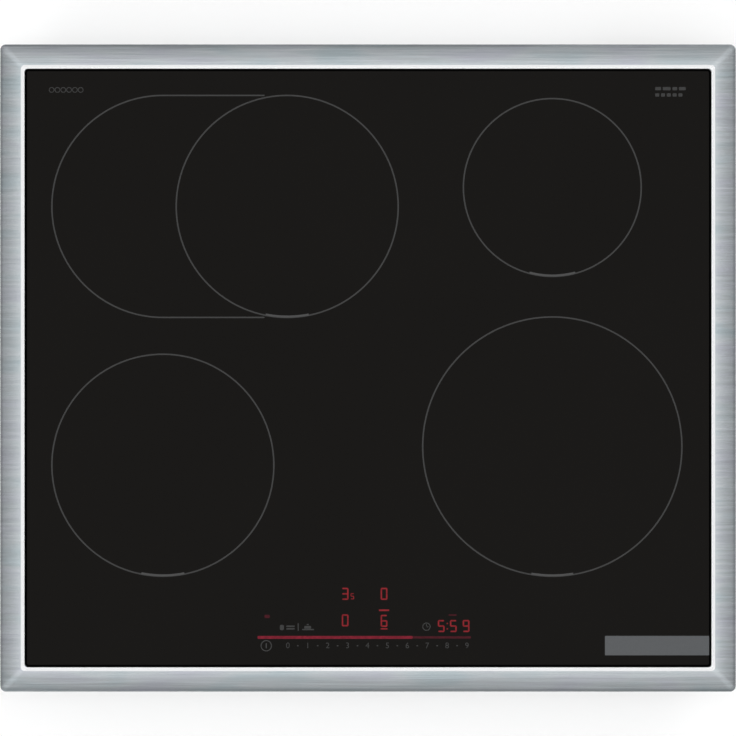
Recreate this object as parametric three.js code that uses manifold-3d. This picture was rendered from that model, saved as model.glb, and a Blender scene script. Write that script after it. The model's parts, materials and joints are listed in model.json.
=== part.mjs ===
// A built-in induction hob with four cooking zones, one of them with a roaster extension.
// Millimetres, +X to the user's right, +Y to the rear, +Z up.
// The origin is the middle of the hob at the height of the tray's lowest face.
import * as THREE from "three";
import { mergeVertices } from "three/addons/utils/BufferGeometryUtils.js";
import Module from "manifold-3d";

const wasm = await Module();
wasm.setup();

// ---------------------------------------------------------------- driving dimensions

const gap = 0.3; // between two pieces that touch

const hobWidth = 583;
const hobDepth = 513;
const hobCornerRadius = 4.5;
const builtInDepth = 51; // from the tray's lowest face to the worktop

const rimOverlap = 11.5; // of the frame over the worktop, past the cut-out
const cutoutClearance = 5; // between the cut-out's edge and the tray, on each side

const frameBorder = 19.5; // seen width of the steel frame
const frameSheet = 1;
const frameRimHeight = 2.2; // of the outer edge above the worktop
const frameCrestHeight = 5.4; // of the inner edge above the worktop
const frameHemClearance = 0.2;
const frameLedge = 10; // reach of the ledge under the glass
const frameOpeningRadius = 3;
const frameSlopeSteps = 6;

const glassThickness = 4;
const glassEdge = 0.5; // chamfer around the panel
const glassRecess = 0.4; // of the glass below the frame's inner edge
const glassJoint = 1.2; // between the glass and the frame, filled by the bead
const beadThickness = 0.5;
const beadWidth = 7;
const sealWidth = 7;

const traySheet = 1;
const trayCornerRadius = 8;
const trayLip = 11;
const ribDrop = 1.2; // of the pressed ribs below the tray's floor
const ribWidth = 12;
const slotHeight = 3.4; // of the grilles' and the side walls' slots
const intakeSlotCount = 9;
const intakeSlotPitch = 7;
const intakeGrilleRadius = 34;
const exhaustSlotCount = 20;
const exhaustSlotWidth = 11;
const exhaustSlotHeight = 12;
const exhaustSlotLevel = 16;
const sideSlotCount = 7;
const sideSlotPitch = 22;
const sideSlotLength = 14;
const sideSlotLevel = 30;

const deckSheet = 1.5;
const deckWallClearance = 0.5;
const deckPanelClearance = 4; // between the deck and the touch panel in front of it
const deckHoleRadius = 7; // for the wires under each coil
const micaThickness = 0.5;
const coilThickness = 3.6;
const coilZoneInset = 6; // of the coil's edge inside its printed ring
const carrierHeight = 3.7;
const carrierPlate = 1.4;
const carrierMargin = 2;
const sensorRadius = 9;
const sensorTipRadius = 6;

const boardThickness = 1.6;
const boardWidth = 230;
const boardDepth = 200;
const boardStandoff = 5.2;
const boardMiddleClearance = 13; // between each power board and the hob's middle
const boardBlowerClearance = 30;
const heatSinkWidth = 62;
const heatSinkLength = 120;
const heatSinkHeight = 26;
const finCount = 9;
const capacitorWidth = 30;
const capacitorDepth = 42;
const capacitorHeight = 22;
const boardChokeRadius = 17;
const boardChokeWire = 7;
const mainsChokeRadius = 20;
const mainsChokeWire = 8;
const filterBoardDepth = 96;
const filterBoardClearance = 7; // between the filter board and each blower
const cradleSheet = 1.5;
const postRadius = 4;

const blowerSpan = 118; // side of the square that the scroll fits in
const blowerHeadroom = 5; // between a blower and the coil deck
const blowerWall = 1.6;
const blowerIntakeRadius = 30;
const blowerSideClearance = 10; // between a blower and the terminal box
const blowerRearClearance = 11; // between a blower and the tray's rear wall
const outletReach = 19; // of the scroll's outlet past its square
const impellerClearance = 13; // between the impeller and the scroll's wall
const impellerHeight = 22;
const bladeCount = 14;
const bladeDepth = 9;
const bladeThickness = 1.2;
const bladeLean = 35; // degrees off the radius
const hubRadius = 19;
const hubWall = 2;
const impellerLift = 3; // of the impeller above the housing's floor
const motorLift = 1; // of the motor above the hub's floor
const motorCap = 3; // over the shaft's end
const shaftRadius = 2;

const panelWidth = 190; // touch panel, left to right
const panelDepth = 58;
const panelFrontMargin = 11; // from the frame's opening to the touch panel
const panelOffset = -3; // of the touch panel from the hob's middle
const lightGuideHeight = 3.8;

const terminalWidth = 80;
const terminalHeight = 34;
const terminalDepth = 38;
const terminalWall = 2;
const terminalSideMargin = 12; // from the tray's inner side wall
const terminalFloorClearance = 2;
const terminalCoverSheet = 2.4;
const cableNotchWidth = 15;
const cableNotchHeight = 16;
const hingePinRadius = 1.2;
const hingeWall = 1.4;
const earWidth = 4;
const knuckleWidth = 12;
const poleCount = 5;
const polePitch = 12;
const terminalBlockDepth = 18;

const clipWidth = 22;
const clipSheet = 1;
const clipHeight = 32;
const clipBulge = 6.5; // of the leaf spring past the tray's wall
const clipSpacing = 260;
const clipFoot = 8; // height of the leaf's root above the tray's lowest face

const screwShankRadius = 1.9;
const screwHeadRadius = 3.6;
const screwHeadHeight = 2;
const screwInset = 16; // of a deck screw from the deck's front or rear edge
const screwHeight = 24;

// The printed rings' diameters, their coils' inner radii, and their places inside the frame's opening.
const rearLeftDiameter = 177;
const rearRightDiameter = 142;
const frontLeftDiameter = 177;
const frontRightDiameter = 206.5;
const zoneSideMargin = 21;
const rightInset = 1.75; // of the large ring, further in than the side margin
const zoneRearMargin = 20.5;
const rearRightInset = 2.5; // of the small ring, further in than the rear margin
const zoneFrontMargin = 71.5;
const mediumBore = 25;
const smallBore = 22;
const largeBore = 30;
const roasterShift = 98.5; // of the roaster extension's round end from the round zone
const roasterBand = 18;
const roasterGap = 9; // between the round coil and the extension's coil

// ---------------------------------------------------------------- levels and fits

const worktopLevel = builtInDepth;
const crestLevel = worktopLevel + frameCrestHeight;
const rimLevel = worktopLevel + frameRimHeight;
const glassTop = crestLevel - glassRecess;
const glassBottom = glassTop - glassThickness;
const beadBottom = glassBottom - gap - beadThickness;
const ledgeTop = beadBottom - gap;
const ledgeBottom = ledgeTop - frameSheet;

const openingWidth = hobWidth - 2 * frameBorder;
const openingDepth = hobDepth - 2 * frameBorder;
const glassWidth = openingWidth - 2 * glassJoint;
const glassDepth = openingDepth - 2 * glassJoint;

const trayWidth = hobWidth - 2 * (rimOverlap + cutoutClearance);
const trayDepth = hobDepth - 2 * (rimOverlap + cutoutClearance);
// Each zone's middle: the left-hand ones stand off the opening's left side, the right-hand
// ones share a middle.
const zoneLeft = -openingWidth / 2 + zoneSideMargin;
const zoneRight = openingWidth / 2 - zoneSideMargin;
const zoneRear = openingDepth / 2 - zoneRearMargin;
const zoneFront = -openingDepth / 2 + zoneFrontMargin;
const rightX = zoneRight - frontRightDiameter / 2 - rightInset;
const zones = [
  {
    name: "rear_left",
    x: zoneLeft + rearLeftDiameter / 2 + roasterShift,
    y: zoneRear - rearLeftDiameter / 2,
    diameter: rearLeftDiameter,
    bore: mediumBore,
  },
  {
    name: "rear_right",
    x: rightX,
    y: zoneRear - rearRightDiameter / 2 - rearRightInset,
    diameter: rearRightDiameter,
    bore: smallBore,
  },
  {
    name: "front_left",
    x: zoneLeft + frontLeftDiameter / 2,
    y: zoneFront + frontLeftDiameter / 2,
    diameter: frontLeftDiameter,
    bore: mediumBore,
  },
  {
    name: "front_right",
    x: rightX,
    y: zoneFront + frontRightDiameter / 2,
    diameter: frontRightDiameter,
    bore: largeBore,
  },
];

// The round coil beside the roaster extension, and the extension's own coil.
const roundZone = zones[0];
const roasterX = roundZone.x - roasterShift;
const roasterRadius = roundZone.diameter / 2 - coilZoneInset;
const roasterFacing = roasterRadius + roasterGap;
const roasterSensorX = -roasterBand * 2;

const trayTop = ledgeBottom - gap;
const floorTop = ribDrop + traySheet;
const innerWidth = trayWidth - 2 * traySheet;
const innerDepth = trayDepth - 2 * traySheet;

const micaTop = glassBottom - gap;
const coilTop = micaTop - micaThickness - gap;
const carrierTop = coilTop - coilThickness - gap;
const carrierBottom = carrierTop - carrierHeight;
const deckTop = carrierBottom - gap;
const deckBottom = deckTop - deckSheet;
const deckWidth = innerWidth - 2 * deckWallClearance;
const deckRear = innerDepth / 2 - deckWallClearance;
const panelY = -openingDepth / 2 + panelFrontMargin + panelDepth / 2;
const deckFront = panelY + panelDepth / 2 + deckPanelClearance;
const screwRows = [deckFront + screwInset, deckRear - screwInset];

const cradleBottom = floorTop + gap;
const boardBottom = cradleBottom + cradleSheet + boardStandoff + gap;
const boardTop = boardBottom + boardThickness;
const blowerBottom = floorTop + gap;
const blowerHeight = deckBottom - blowerHeadroom - blowerBottom;
const blowerY = innerDepth / 2 - blowerSpan / 2 - blowerRearClearance;
const impellerFoot = blowerWall + impellerLift;
const motorFoot = impellerFoot + hubWall + motorLift;
const motorHeight = blowerHeight - blowerWall - gap - motorFoot;
const scrollRadius = blowerSpan / 2 - 2;
const impellerRadius = scrollRadius - impellerClearance;

const terminalX = innerWidth / 2 - terminalSideMargin - terminalWidth / 2;
const blowerX = terminalX - terminalWidth / 2 - blowerSideClearance - scrollRadius;
const blowerPlaces = [
  { side: "left", x: -blowerX },
  { side: "right", x: blowerX },
];
const boardX = boardWidth / 2 + boardMiddleClearance;
const boardY = blowerY - blowerSpan / 2 - boardDepth / 2 - boardBlowerClearance;
const terminalBottom = floorTop + terminalFloorClearance;
const terminalTop = terminalBottom + terminalHeight;
const hingeZ = terminalTop + hingePinRadius + gap;
const hingeY = trayDepth / 2 + gap + hingePinRadius + gap + hingeWall;

// ---------------------------------------------------------------- materials

const finish = (color, roughness, metalness) =>
  new THREE.MeshStandardMaterial({ color, roughness, metalness });

const materials = {
  glass: finish(0x1a1a18, 0.08, 0),
  trimSteel: finish(0xa9adb1, 0.32, 1),
  sealRubber: finish(0x141414, 0.85, 0),
  traySteel: finish(0x9a9ea0, 0.45, 0.9),
  deckAluminium: finish(0xb6b8ba, 0.4, 0.9),
  copper: finish(0x9c5a35, 0.45, 0.85),
  carrierPlastic: finish(0x26272a, 0.6, 0),
  mica: finish(0xb8b2a0, 0.8, 0),
  silicone: finish(0xd8d6cf, 0.7, 0),
  circuitBoard: finish(0x1e5a34, 0.5, 0),
  darkPlastic: finish(0x1b1c1e, 0.55, 0),
  whitePlastic: finish(0xd9d9d4, 0.5, 0),
  capacitor: finish(0x8a8f94, 0.5, 0),
  ferrite: finish(0x3a3c40, 0.7, 0),
  zincSteel: finish(0xaab0b2, 0.35, 1),
};

// ---------------------------------------------------------------- building helpers

const group = new THREE.Group();

// A closed geometry as a solid that can be joined and cut.
function solidOf(geometry) {
  const bare = geometry.index ? geometry.toNonIndexed() : geometry.clone();
  bare.deleteAttribute("normal");
  bare.deleteAttribute("uv");
  const merged = mergeVertices(bare, 1e-4);
  return new wasm.Manifold(
    new wasm.Mesh({
      numProp: 3,
      vertProperties: merged.attributes.position.array,
      triVerts: new Uint32Array(merged.index.array),
    }),
  );
}

// A solid as a geometry that a mesh can show.
function geometryOf(solid) {
  const mesh = solid.getMesh();
  const geometry = new THREE.BufferGeometry();
  const positions = new Float32Array(mesh.vertProperties);
  geometry.setAttribute("position", new THREE.BufferAttribute(positions, 3));
  geometry.setIndex(new THREE.BufferAttribute(new Uint32Array(mesh.triVerts), 1));
  geometry.computeVertexNormals();
  return geometry;
}

function joined(first, ...rest) {
  return rest.reduce((sum, next) => sum.add(next), first);
}

function cut(first, ...rest) {
  return rest.reduce((left, next) => left.subtract(next), first);
}

// Adds one named piece to a parent at a place; a solid becomes a geometry first.
function addPiece(name, shape, material, place = [0, 0, 0], parent = group) {
  const geometry = shape.isBufferGeometry ? shape : geometryOf(shape);
  const mesh = new THREE.Mesh(geometry, material);
  mesh.name = name;
  mesh.position.set(...place);
  parent.add(mesh);
  return mesh;
}

// A block centred on x and y, standing on its z.
function block(width, depth, height, x = 0, y = 0, z = 0) {
  const box = new THREE.BoxGeometry(width, depth, height);
  return solidOf(box.translate(x, y, z + height / 2));
}

// An upright round bar standing on its z.
function bar(radius, height, x = 0, y = 0, z = 0, sides = 32) {
  const cylinder = new THREE.CylinderGeometry(radius, radius, height, sides);
  return solidOf(cylinder.rotateX(Math.PI / 2).translate(x, y, z + height / 2));
}

// A round bar lying along X, centred on its place.
function lyingBar(radius, length, x, y, z, sides = 16) {
  const cylinder = new THREE.CylinderGeometry(radius, radius, length, sides);
  return solidOf(cylinder.rotateZ(Math.PI / 2).translate(x, y, z));
}

function prism(shape, height, z = 0, curveSegments = 12) {
  const settings = { depth: height, bevelEnabled: false, curveSegments };
  return solidOf(new THREE.ExtrudeGeometry(shape, settings).translate(0, 0, z));
}

function turned(points, segments = 32) {
  const profile = points.map(([r, z]) => new THREE.Vector2(r, z));
  const lathe = new THREE.LatheGeometry(profile, segments);
  return solidOf(lathe.rotateX(Math.PI / 2));
}

// Evenly spaced places along a line, centred on zero.
function row(count, pitch) {
  return [...Array(count).keys()].map((i) => (i - (count - 1) / 2) * pitch);
}

// Two places mirrored about zero.
const mirrored = (x) => [-x, x];

// The four places on the side walls at two distances from the middle, each with its label.
function corners([front, rear]) {
  return [
    { label: "left_front", sign: -1, y: front },
    { label: "left_rear", sign: -1, y: rear },
    { label: "right_front", sign: 1, y: front },
    { label: "right_rear", sign: 1, y: rear },
  ];
}

function roundedRectangle(width, depth, radius) {
  const x = width / 2 - radius;
  const y = depth / 2 - radius;
  const shape = new THREE.Shape();
  shape.absarc(x, y, radius, 0, Math.PI / 2);
  shape.absarc(-x, y, radius, Math.PI / 2, Math.PI);
  shape.absarc(-x, -y, radius, Math.PI, 1.5 * Math.PI);
  shape.absarc(x, -y, radius, 1.5 * Math.PI, 2 * Math.PI);
  return shape;
}

// A slot or bar outline with fully round ends along its longer side.
function slotShape(length, width) {
  return roundedRectangle(length, width, Math.min(length, width) / 2 - 0.01);
}

// A slab with rounded corners, inset from the hob's outline.
function hobSlab(inset, radius, height, z) {
  return prism(roundedRectangle(hobWidth - 2 * inset, hobDepth - 2 * inset, radius), height, z, 4);
}

// ---------------------------------------------------------------- top: frame, glass and seals

// Height of the convex slope at a distance from its foot, as a share of its rise.
const slopeRise = (share) => Math.sin((share * Math.PI) / 2);

// The cross-section of a slab whose two sides slope up to a flat top.
function slopedSection(span, footLevel, topLevel, reach, base) {
  const steps = [...Array(frameSlopeSteps + 1).keys()].map((i) => i / frameSlopeSteps);
  const rise = topLevel - footLevel;
  const side = steps.map((share) => [span / 2 - reach * share, footLevel + rise * slopeRise(share)]);
  const shape = new THREE.Shape();
  shape.moveTo(-span / 2, base);
  shape.lineTo(span / 2, base);
  side.forEach(([x, z]) => shape.lineTo(x, z));
  [...side].reverse().forEach(([x, z]) => shape.lineTo(-x, z));
  return shape;
}

// A slab whose four sides slope up and meet on mitres.
function hippedSlab(width, depth, footLevel, topLevel, reach, base) {
  const settings = { bevelEnabled: false };
  const across = new THREE.ExtrudeGeometry(
    slopedSection(width, footLevel, topLevel, reach, base),
    { ...settings, depth: depth },
  );
  across.rotateX(Math.PI / 2).translate(0, depth / 2, 0);
  const along = new THREE.ExtrudeGeometry(
    slopedSection(depth, footLevel, topLevel, reach, base),
    { ...settings, depth: width },
  );
  along.rotateX(Math.PI / 2).rotateZ(Math.PI / 2).translate(-width / 2, 0, 0);
  return solidOf(across).intersect(solidOf(along));
}

function frameSolid() {
  const crestReach = frameBorder - frameSheet;
  const skin = hippedSlab(hobWidth, hobDepth, rimLevel, crestLevel, crestReach, ledgeBottom);
  const outline = hobSlab(0, hobCornerRadius, crestLevel - ledgeBottom, ledgeBottom);
  const hollow = hippedSlab(
    hobWidth - 2 * frameSheet,
    hobDepth - 2 * frameSheet,
    rimLevel - frameSheet,
    crestLevel - frameSheet,
    crestReach - frameSheet,
    ledgeBottom - 1,
  );
  const wallInset = frameBorder - frameSheet;
  const innerWall = hobSlab(wallInset, frameOpeningRadius + frameSheet, 20, ledgeBottom - 5);
  const hem = worktopLevel + frameHemClearance;
  const belowHem = block(hobWidth + 2, hobDepth + 2, hem - ledgeBottom + 1, 0, 0, ledgeBottom - 1);
  const opening = hobSlab(frameBorder, frameOpeningRadius, 20, ledgeTop);
  const throughHole = hobSlab(frameBorder + frameLedge, frameOpeningRadius, 20, ledgeBottom - 5);
  return cut(
    skin.intersect(outline),
    hollow.subtract(innerWall),
    belowHem.subtract(innerWall),
    opening,
    throughHole,
  );
}

function glassGeometry() {
  const width = glassWidth - 2 * glassEdge;
  const depth = glassDepth - 2 * glassEdge;
  const outline = roundedRectangle(width, depth, frameOpeningRadius - glassEdge);
  return new THREE.ExtrudeGeometry(outline, {
    depth: glassThickness - 2 * glassEdge,
    bevelThickness: glassEdge,
    bevelSize: glassEdge,
    bevelSegments: 1,
    curveSegments: 4,
  }).translate(0, 0, glassEdge);
}

// The bonding bead: a flat ring under the glass with a lip up the joint around it.
function beadSolid() {
  const outer = frameBorder + gap;
  const lipHeight = glassTop - gap - beadBottom;
  const lipInset = frameBorder + glassJoint - gap;
  const lip = hobSlab(outer, frameOpeningRadius, lipHeight, beadBottom);
  const flatInset = outer + beadWidth;
  const flatTop = beadBottom + beadThickness;
  return cut(
    lip,
    hobSlab(lipInset, frameOpeningRadius, lipHeight, flatTop),
    hobSlab(flatInset, frameOpeningRadius, lipHeight + 2, beadBottom - 1),
  );
}

function sealSolid() {
  const inset = frameSheet + gap;
  const height = rimLevel - frameSheet - gap - worktopLevel;
  return cut(
    hobSlab(inset, hobCornerRadius - inset, height, worktopLevel),
    hobSlab(inset + sealWidth, 1, height + 2, worktopLevel - 1),
  );
}

// ---------------------------------------------------------------- tray

// The slots of one intake grille, under a blower.
function intakeSlots(x) {
  return row(intakeSlotCount, intakeSlotPitch).map((y) => {
    const length = 2 * Math.sqrt(intakeGrilleRadius ** 2 - y ** 2);
    return block(length, slotHeight, floorTop + 2, x, blowerY + y, -1);
  });
}

// A row of upright slots through the front wall, where the cooling air leaves.
function exhaustSlots() {
  const pitch = innerWidth / (exhaustSlotCount + 3);
  return row(exhaustSlotCount, pitch).map((x) =>
    block(exhaustSlotWidth, 10 * traySheet, exhaustSlotHeight, x, -trayDepth / 2, exhaustSlotLevel),
  );
}

// Slots through both side walls, between the fixing clips.
function sideSlots() {
  return row(sideSlotCount, sideSlotPitch).map((y) =>
    block(trayWidth + 10, sideSlotLength, slotHeight, 0, y, sideSlotLevel),
  );
}

// One window in both of the deck's legs, behind the side slots.
function deckAirWindow() {
  const length = sideSlotCount * sideSlotPitch;
  return block(trayWidth, length, 3 * slotHeight, 0, 0, sideSlotLevel - slotHeight);
}

// Pressed ribs that stiffen the floor; the tray rests on them.
function floorRibs() {
  const rib = (length, width, x, y) =>
    prism(slotShape(length, width), ribDrop + 0.1, 0, 3).translate([x, y, 0]);
  const sideX = trayWidth / 2 - 50;
  const rearY = trayDepth / 2 - 30;
  const frontY = -trayDepth / 2;
  const across = [30, 120].map((y) => rib(trayWidth - 90, ribWidth, 0, frontY + y));
  const rearFeet = [-sideX, 0, sideX].map((x) => rib(ribWidth, 2 * ribWidth, x, rearY));
  const lengthwise = mirrored(sideX).map((x) => rib(ribWidth, 150, x, 0));
  return [...across, ...rearFeet, ...lengthwise];
}

function screwHoles() {
  const radius = screwShankRadius + gap;
  return screwRows.map((y) => lyingBar(radius, trayWidth + 10, 0, y, screwHeight, 12));
}

// The slots that the leaf springs hook into.
function clipSlots() {
  return mirrored(clipSpacing / 2).map((y) =>
    block(trayWidth + 10, clipWidth + 2, clipSheet + 3, 0, y, clipFoot - 2),
  );
}

function traySolid() {
  const inner = roundedRectangle(innerWidth, innerDepth, trayCornerRadius - traySheet);
  const mouth = roundedRectangle(trayWidth - 2 * trayLip, trayDepth - 2 * trayLip, 4);
  const outer = roundedRectangle(trayWidth, trayDepth, trayCornerRadius);
  const shell = cut(
    prism(outer, trayTop - ribDrop, ribDrop, 5),
    prism(inner, trayTop - traySheet - floorTop, floorTop, 5),
    prism(mouth, 20, trayTop - 2 * traySheet, 4),
  );
  const window = block(
    terminalWidth + 2 * gap,
    10 * traySheet,
    terminalHeight + 2 * gap,
    terminalX,
    trayDepth / 2,
    terminalBottom - gap,
  );
  return cut(
    joined(shell, ...floorRibs()),
    window,
    ...blowerPlaces.flatMap((place) => intakeSlots(place.x)),
    ...exhaustSlots(),
    ...sideSlots(),
    ...screwHoles(),
    ...clipSlots(),
  );
}

// ---------------------------------------------------------------- coils and their deck

// The crescent of the roaster extension, beside the round coil; grown by a margin.
// Its origin is the middle of the extension's round end.
function crescent(radius, facingRadius) {
  const y = radius;
  const run = Math.sqrt(facingRadius ** 2 - y ** 2);
  const turn = Math.atan2(y, -run);
  const shape = new THREE.Shape();
  shape.absarc(0, 0, radius, Math.PI / 2, 1.5 * Math.PI);
  shape.lineTo(roasterShift - run, -y);
  shape.absarc(roasterShift, 0, facingRadius, -turn + 2 * Math.PI, turn, true);
  return shape;
}

// A crescent slab without its two thin horns.
function crescentSlab(radius, facingRadius, height) {
  const hornless = block(2 * radius, 3 * radius, height + 2, radius / 3 - radius, 0, -1);
  return prism(crescent(radius, facingRadius), height, 0, 12).intersect(hornless);
}

function deckSolid() {
  const legHeight = deckTop - floorTop - gap;
  const middle = (deckRear + deckFront) / 2;
  const outline = roundedRectangle(deckWidth, deckRear - deckFront, trayCornerRadius);
  const plate = prism(outline, deckSheet, deckBottom, 3).translate([0, middle, 0]);
  const legLength = deckRear - deckFront - 2 * trayCornerRadius;
  const legs = mirrored(deckWidth / 2 - deckSheet / 2).map((x) =>
    block(deckSheet, legLength, legHeight, x, middle, floorTop + gap),
  );
  const roasterHole = { x: roasterX + roasterSensorX, y: roundZone.y };
  const wireHoles = [...zones, roasterHole].map(({ x, y }) =>
    bar(deckHoleRadius, 10, x, y, deckBottom - 5, 12),
  );
  return cut(
    joined(plate, ...legs),
    ...wireHoles,
    ...screwHoles(),
    ...deckClipRelief(),
    deckAirWindow(),
  );
}

// Notches in the deck's legs, clear of the leaf springs' hooks.
function deckClipRelief() {
  return mirrored(clipSpacing / 2).map((y) => block(trayWidth, clipWidth + 4, 2 * clipFoot, 0, y));
}

function coilSolid(radius, bore) {
  return cut(bar(radius, coilThickness, 0, 0, 0, 40), bar(bore, coilThickness + 2, 0, 0, -1, 20));
}

// A round carrier: a plate with a rim, a hub around the sensor and eight ribs that hold the ferrites.
function carrierSolid(radius) {
  const rim = cut(
    bar(radius, carrierHeight),
    bar(radius - carrierMargin, carrierHeight, 0, 0, -carrierPlate),
  );
  const ribs = [0, 1, 2, 3].map((i) =>
    block(2 * radius - 2, 9, carrierHeight - 1, 0, 0, 0).rotate([0, 0, 45 * i]),
  );
  const hub = bar(sensorRadius + 4, carrierHeight, 0, 0, 0, 12);
  const hole = bar(sensorRadius + 2 * gap, carrierHeight + 2, 0, 0, -1, 12);
  return cut(joined(rim, ...ribs, hub), hole);
}

function micaSolid(radius) {
  const hole = bar(sensorTipRadius + 2, micaThickness + 2, 0, 0, -1, 12);
  return cut(bar(radius, micaThickness), hole);
}

// The temperature sensor: a foot in the carrier's hub and a tip that touches the glass.
function sensorSolid() {
  const foot = coilTop - coilThickness - carrierBottom;
  const height = micaTop - carrierBottom;
  return turned(
    [
      [0, 0],
      [sensorRadius, 0],
      [sensorRadius, foot],
      [sensorTipRadius, foot + 1],
      [sensorTipRadius, height - 0.5],
      [sensorTipRadius - 0.5, height],
      [0, height],
    ],
    12,
  );
}

function addRoundCoil(zone) {
  const stack = new THREE.Group();
  stack.position.set(zone.x, zone.y, 0);
  group.add(stack);
  const radius = zone.diameter / 2 - coilZoneInset;
  const { copper, carrierPlastic, mica, silicone } = materials;
  const discRadius = radius + carrierMargin;
  const addLayer = (name, solid, material, height) =>
    addPiece(name + zone.name, solid, material, [0, 0, height], stack);
  addLayer("coil_", coilSolid(radius, zone.bore), copper, coilTop - coilThickness);
  addLayer("coil_carrier_", carrierSolid(discRadius), carrierPlastic, carrierBottom);
  addLayer("mica_disc_", micaSolid(discRadius), mica, micaTop - micaThickness);
  addPiece("sensor_" + zone.name, sensorSolid(), silicone, [0, 0, carrierBottom], stack);
}

function addRoasterCoil() {
  const stack = new THREE.Group();
  stack.position.set(roasterX, roundZone.y, 0);
  group.add(stack);
  const sensorPlace = [roasterSensorX, 0];
  const slab = (margin, height) =>
    crescentSlab(roasterRadius + margin, roasterFacing - margin, height);
  const window = (grow, z) => {
    const inset = roasterBand + grow;
    return prism(crescent(roasterRadius - inset, roasterFacing + inset), 10, z);
  };
  const hole = (radius) => bar(radius, 20, ...sensorPlace, -5, 16);
  const winding = cut(slab(0, coilThickness), window(0, -1));
  const outer = slab(carrierMargin, carrierHeight);
  const carrier = cut(outer, window(4, carrierPlate), hole(sensorRadius + 2 * gap));
  const pierced = cut(slab(carrierMargin, micaThickness), hole(sensorTipRadius + 2));
  const { copper, carrierPlastic, mica, silicone } = materials;
  addPiece("coil_roaster", winding, copper, [0, 0, coilTop - coilThickness], stack);
  addPiece("coil_carrier_roaster", carrier, carrierPlastic, [0, 0, carrierBottom], stack);
  addPiece("mica_sheet_roaster", pierced, mica, [0, 0, micaTop - micaThickness], stack);
  addPiece("sensor_roaster", sensorSolid(), silicone, [...sensorPlace, carrierBottom], stack);
}

// ---------------------------------------------------------------- electronics

function postPlaces() {
  const corners = mirrored(boardWidth / 2 - 2 * postRadius).flatMap((x) =>
    mirrored(boardDepth / 2 - 2 * postRadius).map((y) => [x, y]),
  );
  return mirrored(boardX).flatMap((middle) => corners.map(([x, y]) => [middle + x, boardY + y]));
}

function cradleSolid() {
  const width = 2 * boardX + boardWidth + 2 * postRadius;
  const plate = block(width, boardDepth + 2 * postRadius, cradleSheet, 0, boardY, 0);
  const posts = postPlaces().map(([x, y]) => bar(postRadius, cradleSheet + boardStandoff, x, y, 0, 10));
  return joined(plate, ...posts);
}

// An extruded heat sink with upright fins along Y.
function heatSinkSolid() {
  const base = 6;
  const finWidth = 1.8;
  const pitch = (heatSinkWidth - finWidth) / (finCount - 1);
  const fins = row(finCount, pitch).map((x) => block(finWidth, heatSinkLength, heatSinkHeight, x));
  return joined(block(heatSinkWidth, heatSinkLength, base), ...fins);
}

function chokeSolid(radius, wire) {
  const torus = new THREE.TorusGeometry(radius, wire, 7, 14);
  return solidOf(torus.translate(0, 0, wire));
}

function addPowerBoard(side, sign) {
  const assembly = new THREE.Group();
  assembly.position.set(sign * boardX, boardY, 0);
  group.add(assembly);
  const { circuitBoard, deckAluminium, capacitor, ferrite } = materials;
  const board = block(boardWidth, boardDepth, boardThickness);
  addPiece("power_board_" + side, board, circuitBoard, [0, 0, boardBottom], assembly);
  const addPart = (name, solid, material, x, y) =>
    addPiece(name, solid, material, [sign * x, y, boardTop + gap], assembly);
  addPart("heat_sink_" + side, heatSinkSolid(), deckAluminium, -13, 22);
  const film = () => block(capacitorWidth, capacitorDepth, capacitorHeight);
  addPart("capacitor_" + side + "_front", film(), capacitor, 62, -20);
  addPart("capacitor_" + side + "_rear", film(), capacitor, 62, 40);
  addPart("choke_" + side, chokeSolid(boardChokeRadius, boardChokeWire), ferrite, -72, -40);
}

function addFilterBoard() {
  const { circuitBoard, ferrite } = materials;
  const width = 2 * (blowerX - blowerSpan / 2 - filterBoardClearance);
  const board = block(width, filterBoardDepth, boardThickness);
  const level = cradleBottom + boardStandoff;
  addPiece("filter_board", board, circuitBoard, [0, blowerY, level]);
  const choke = chokeSolid(mainsChokeRadius, mainsChokeWire);
  addPiece("mains_choke", choke, ferrite, [0, blowerY + 14, level + boardThickness + gap]);
}

// ---------------------------------------------------------------- blowers

// The scroll's outline: a circle that opens to a square outlet facing the boards.
function scrollOutline(radius) {
  const shape = new THREE.Shape();
  const outlet = blowerSpan / 2 + outletReach + radius - scrollRadius;
  shape.absarc(0, 0, radius, 0, Math.PI);
  shape.lineTo(-radius, -outlet);
  shape.lineTo(radius * 0.55, -outlet);
  shape.lineTo(radius * 0.55, -radius * 0.8);
  shape.lineTo(radius, -radius * 0.25);
  return shape;
}

function blowerHousingSolid() {
  const innerRadius = scrollRadius - blowerWall;
  const innerHeight = blowerHeight - 2 * blowerWall;
  const shell = prism(scrollOutline(scrollRadius), blowerHeight, 0, 14);
  const cavity = prism(scrollOutline(innerRadius), innerHeight, blowerWall, 14);
  const mouthDepth = 30;
  const mouthY = -blowerSpan / 2 - mouthDepth / 2;
  const mouthX = -0.225 * scrollRadius;
  const mouth = block(1.4 * innerRadius, mouthDepth, innerHeight, mouthX, mouthY, blowerWall);
  const intake = bar(blowerIntakeRadius, 2 * blowerWall + 2, 0, 0, -blowerWall, 24);
  return cut(shell, cavity, mouth, intake);
}

// The motor hangs from the housing's roof and reaches down into the impeller's hub.
function motorSolid() {
  const bore = shaftRadius + gap;
  const radius = hubRadius - hubWall - 2;
  return turned(
    [
      [bore, 0],
      [radius, 0],
      [radius, motorHeight - 2],
      [radius + 1, motorHeight],
      [0, motorHeight],
      [0, motorHeight - motorCap],
      [bore, motorHeight - motorCap],
      [bore, 0],
    ],
    18,
  );
}

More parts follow.
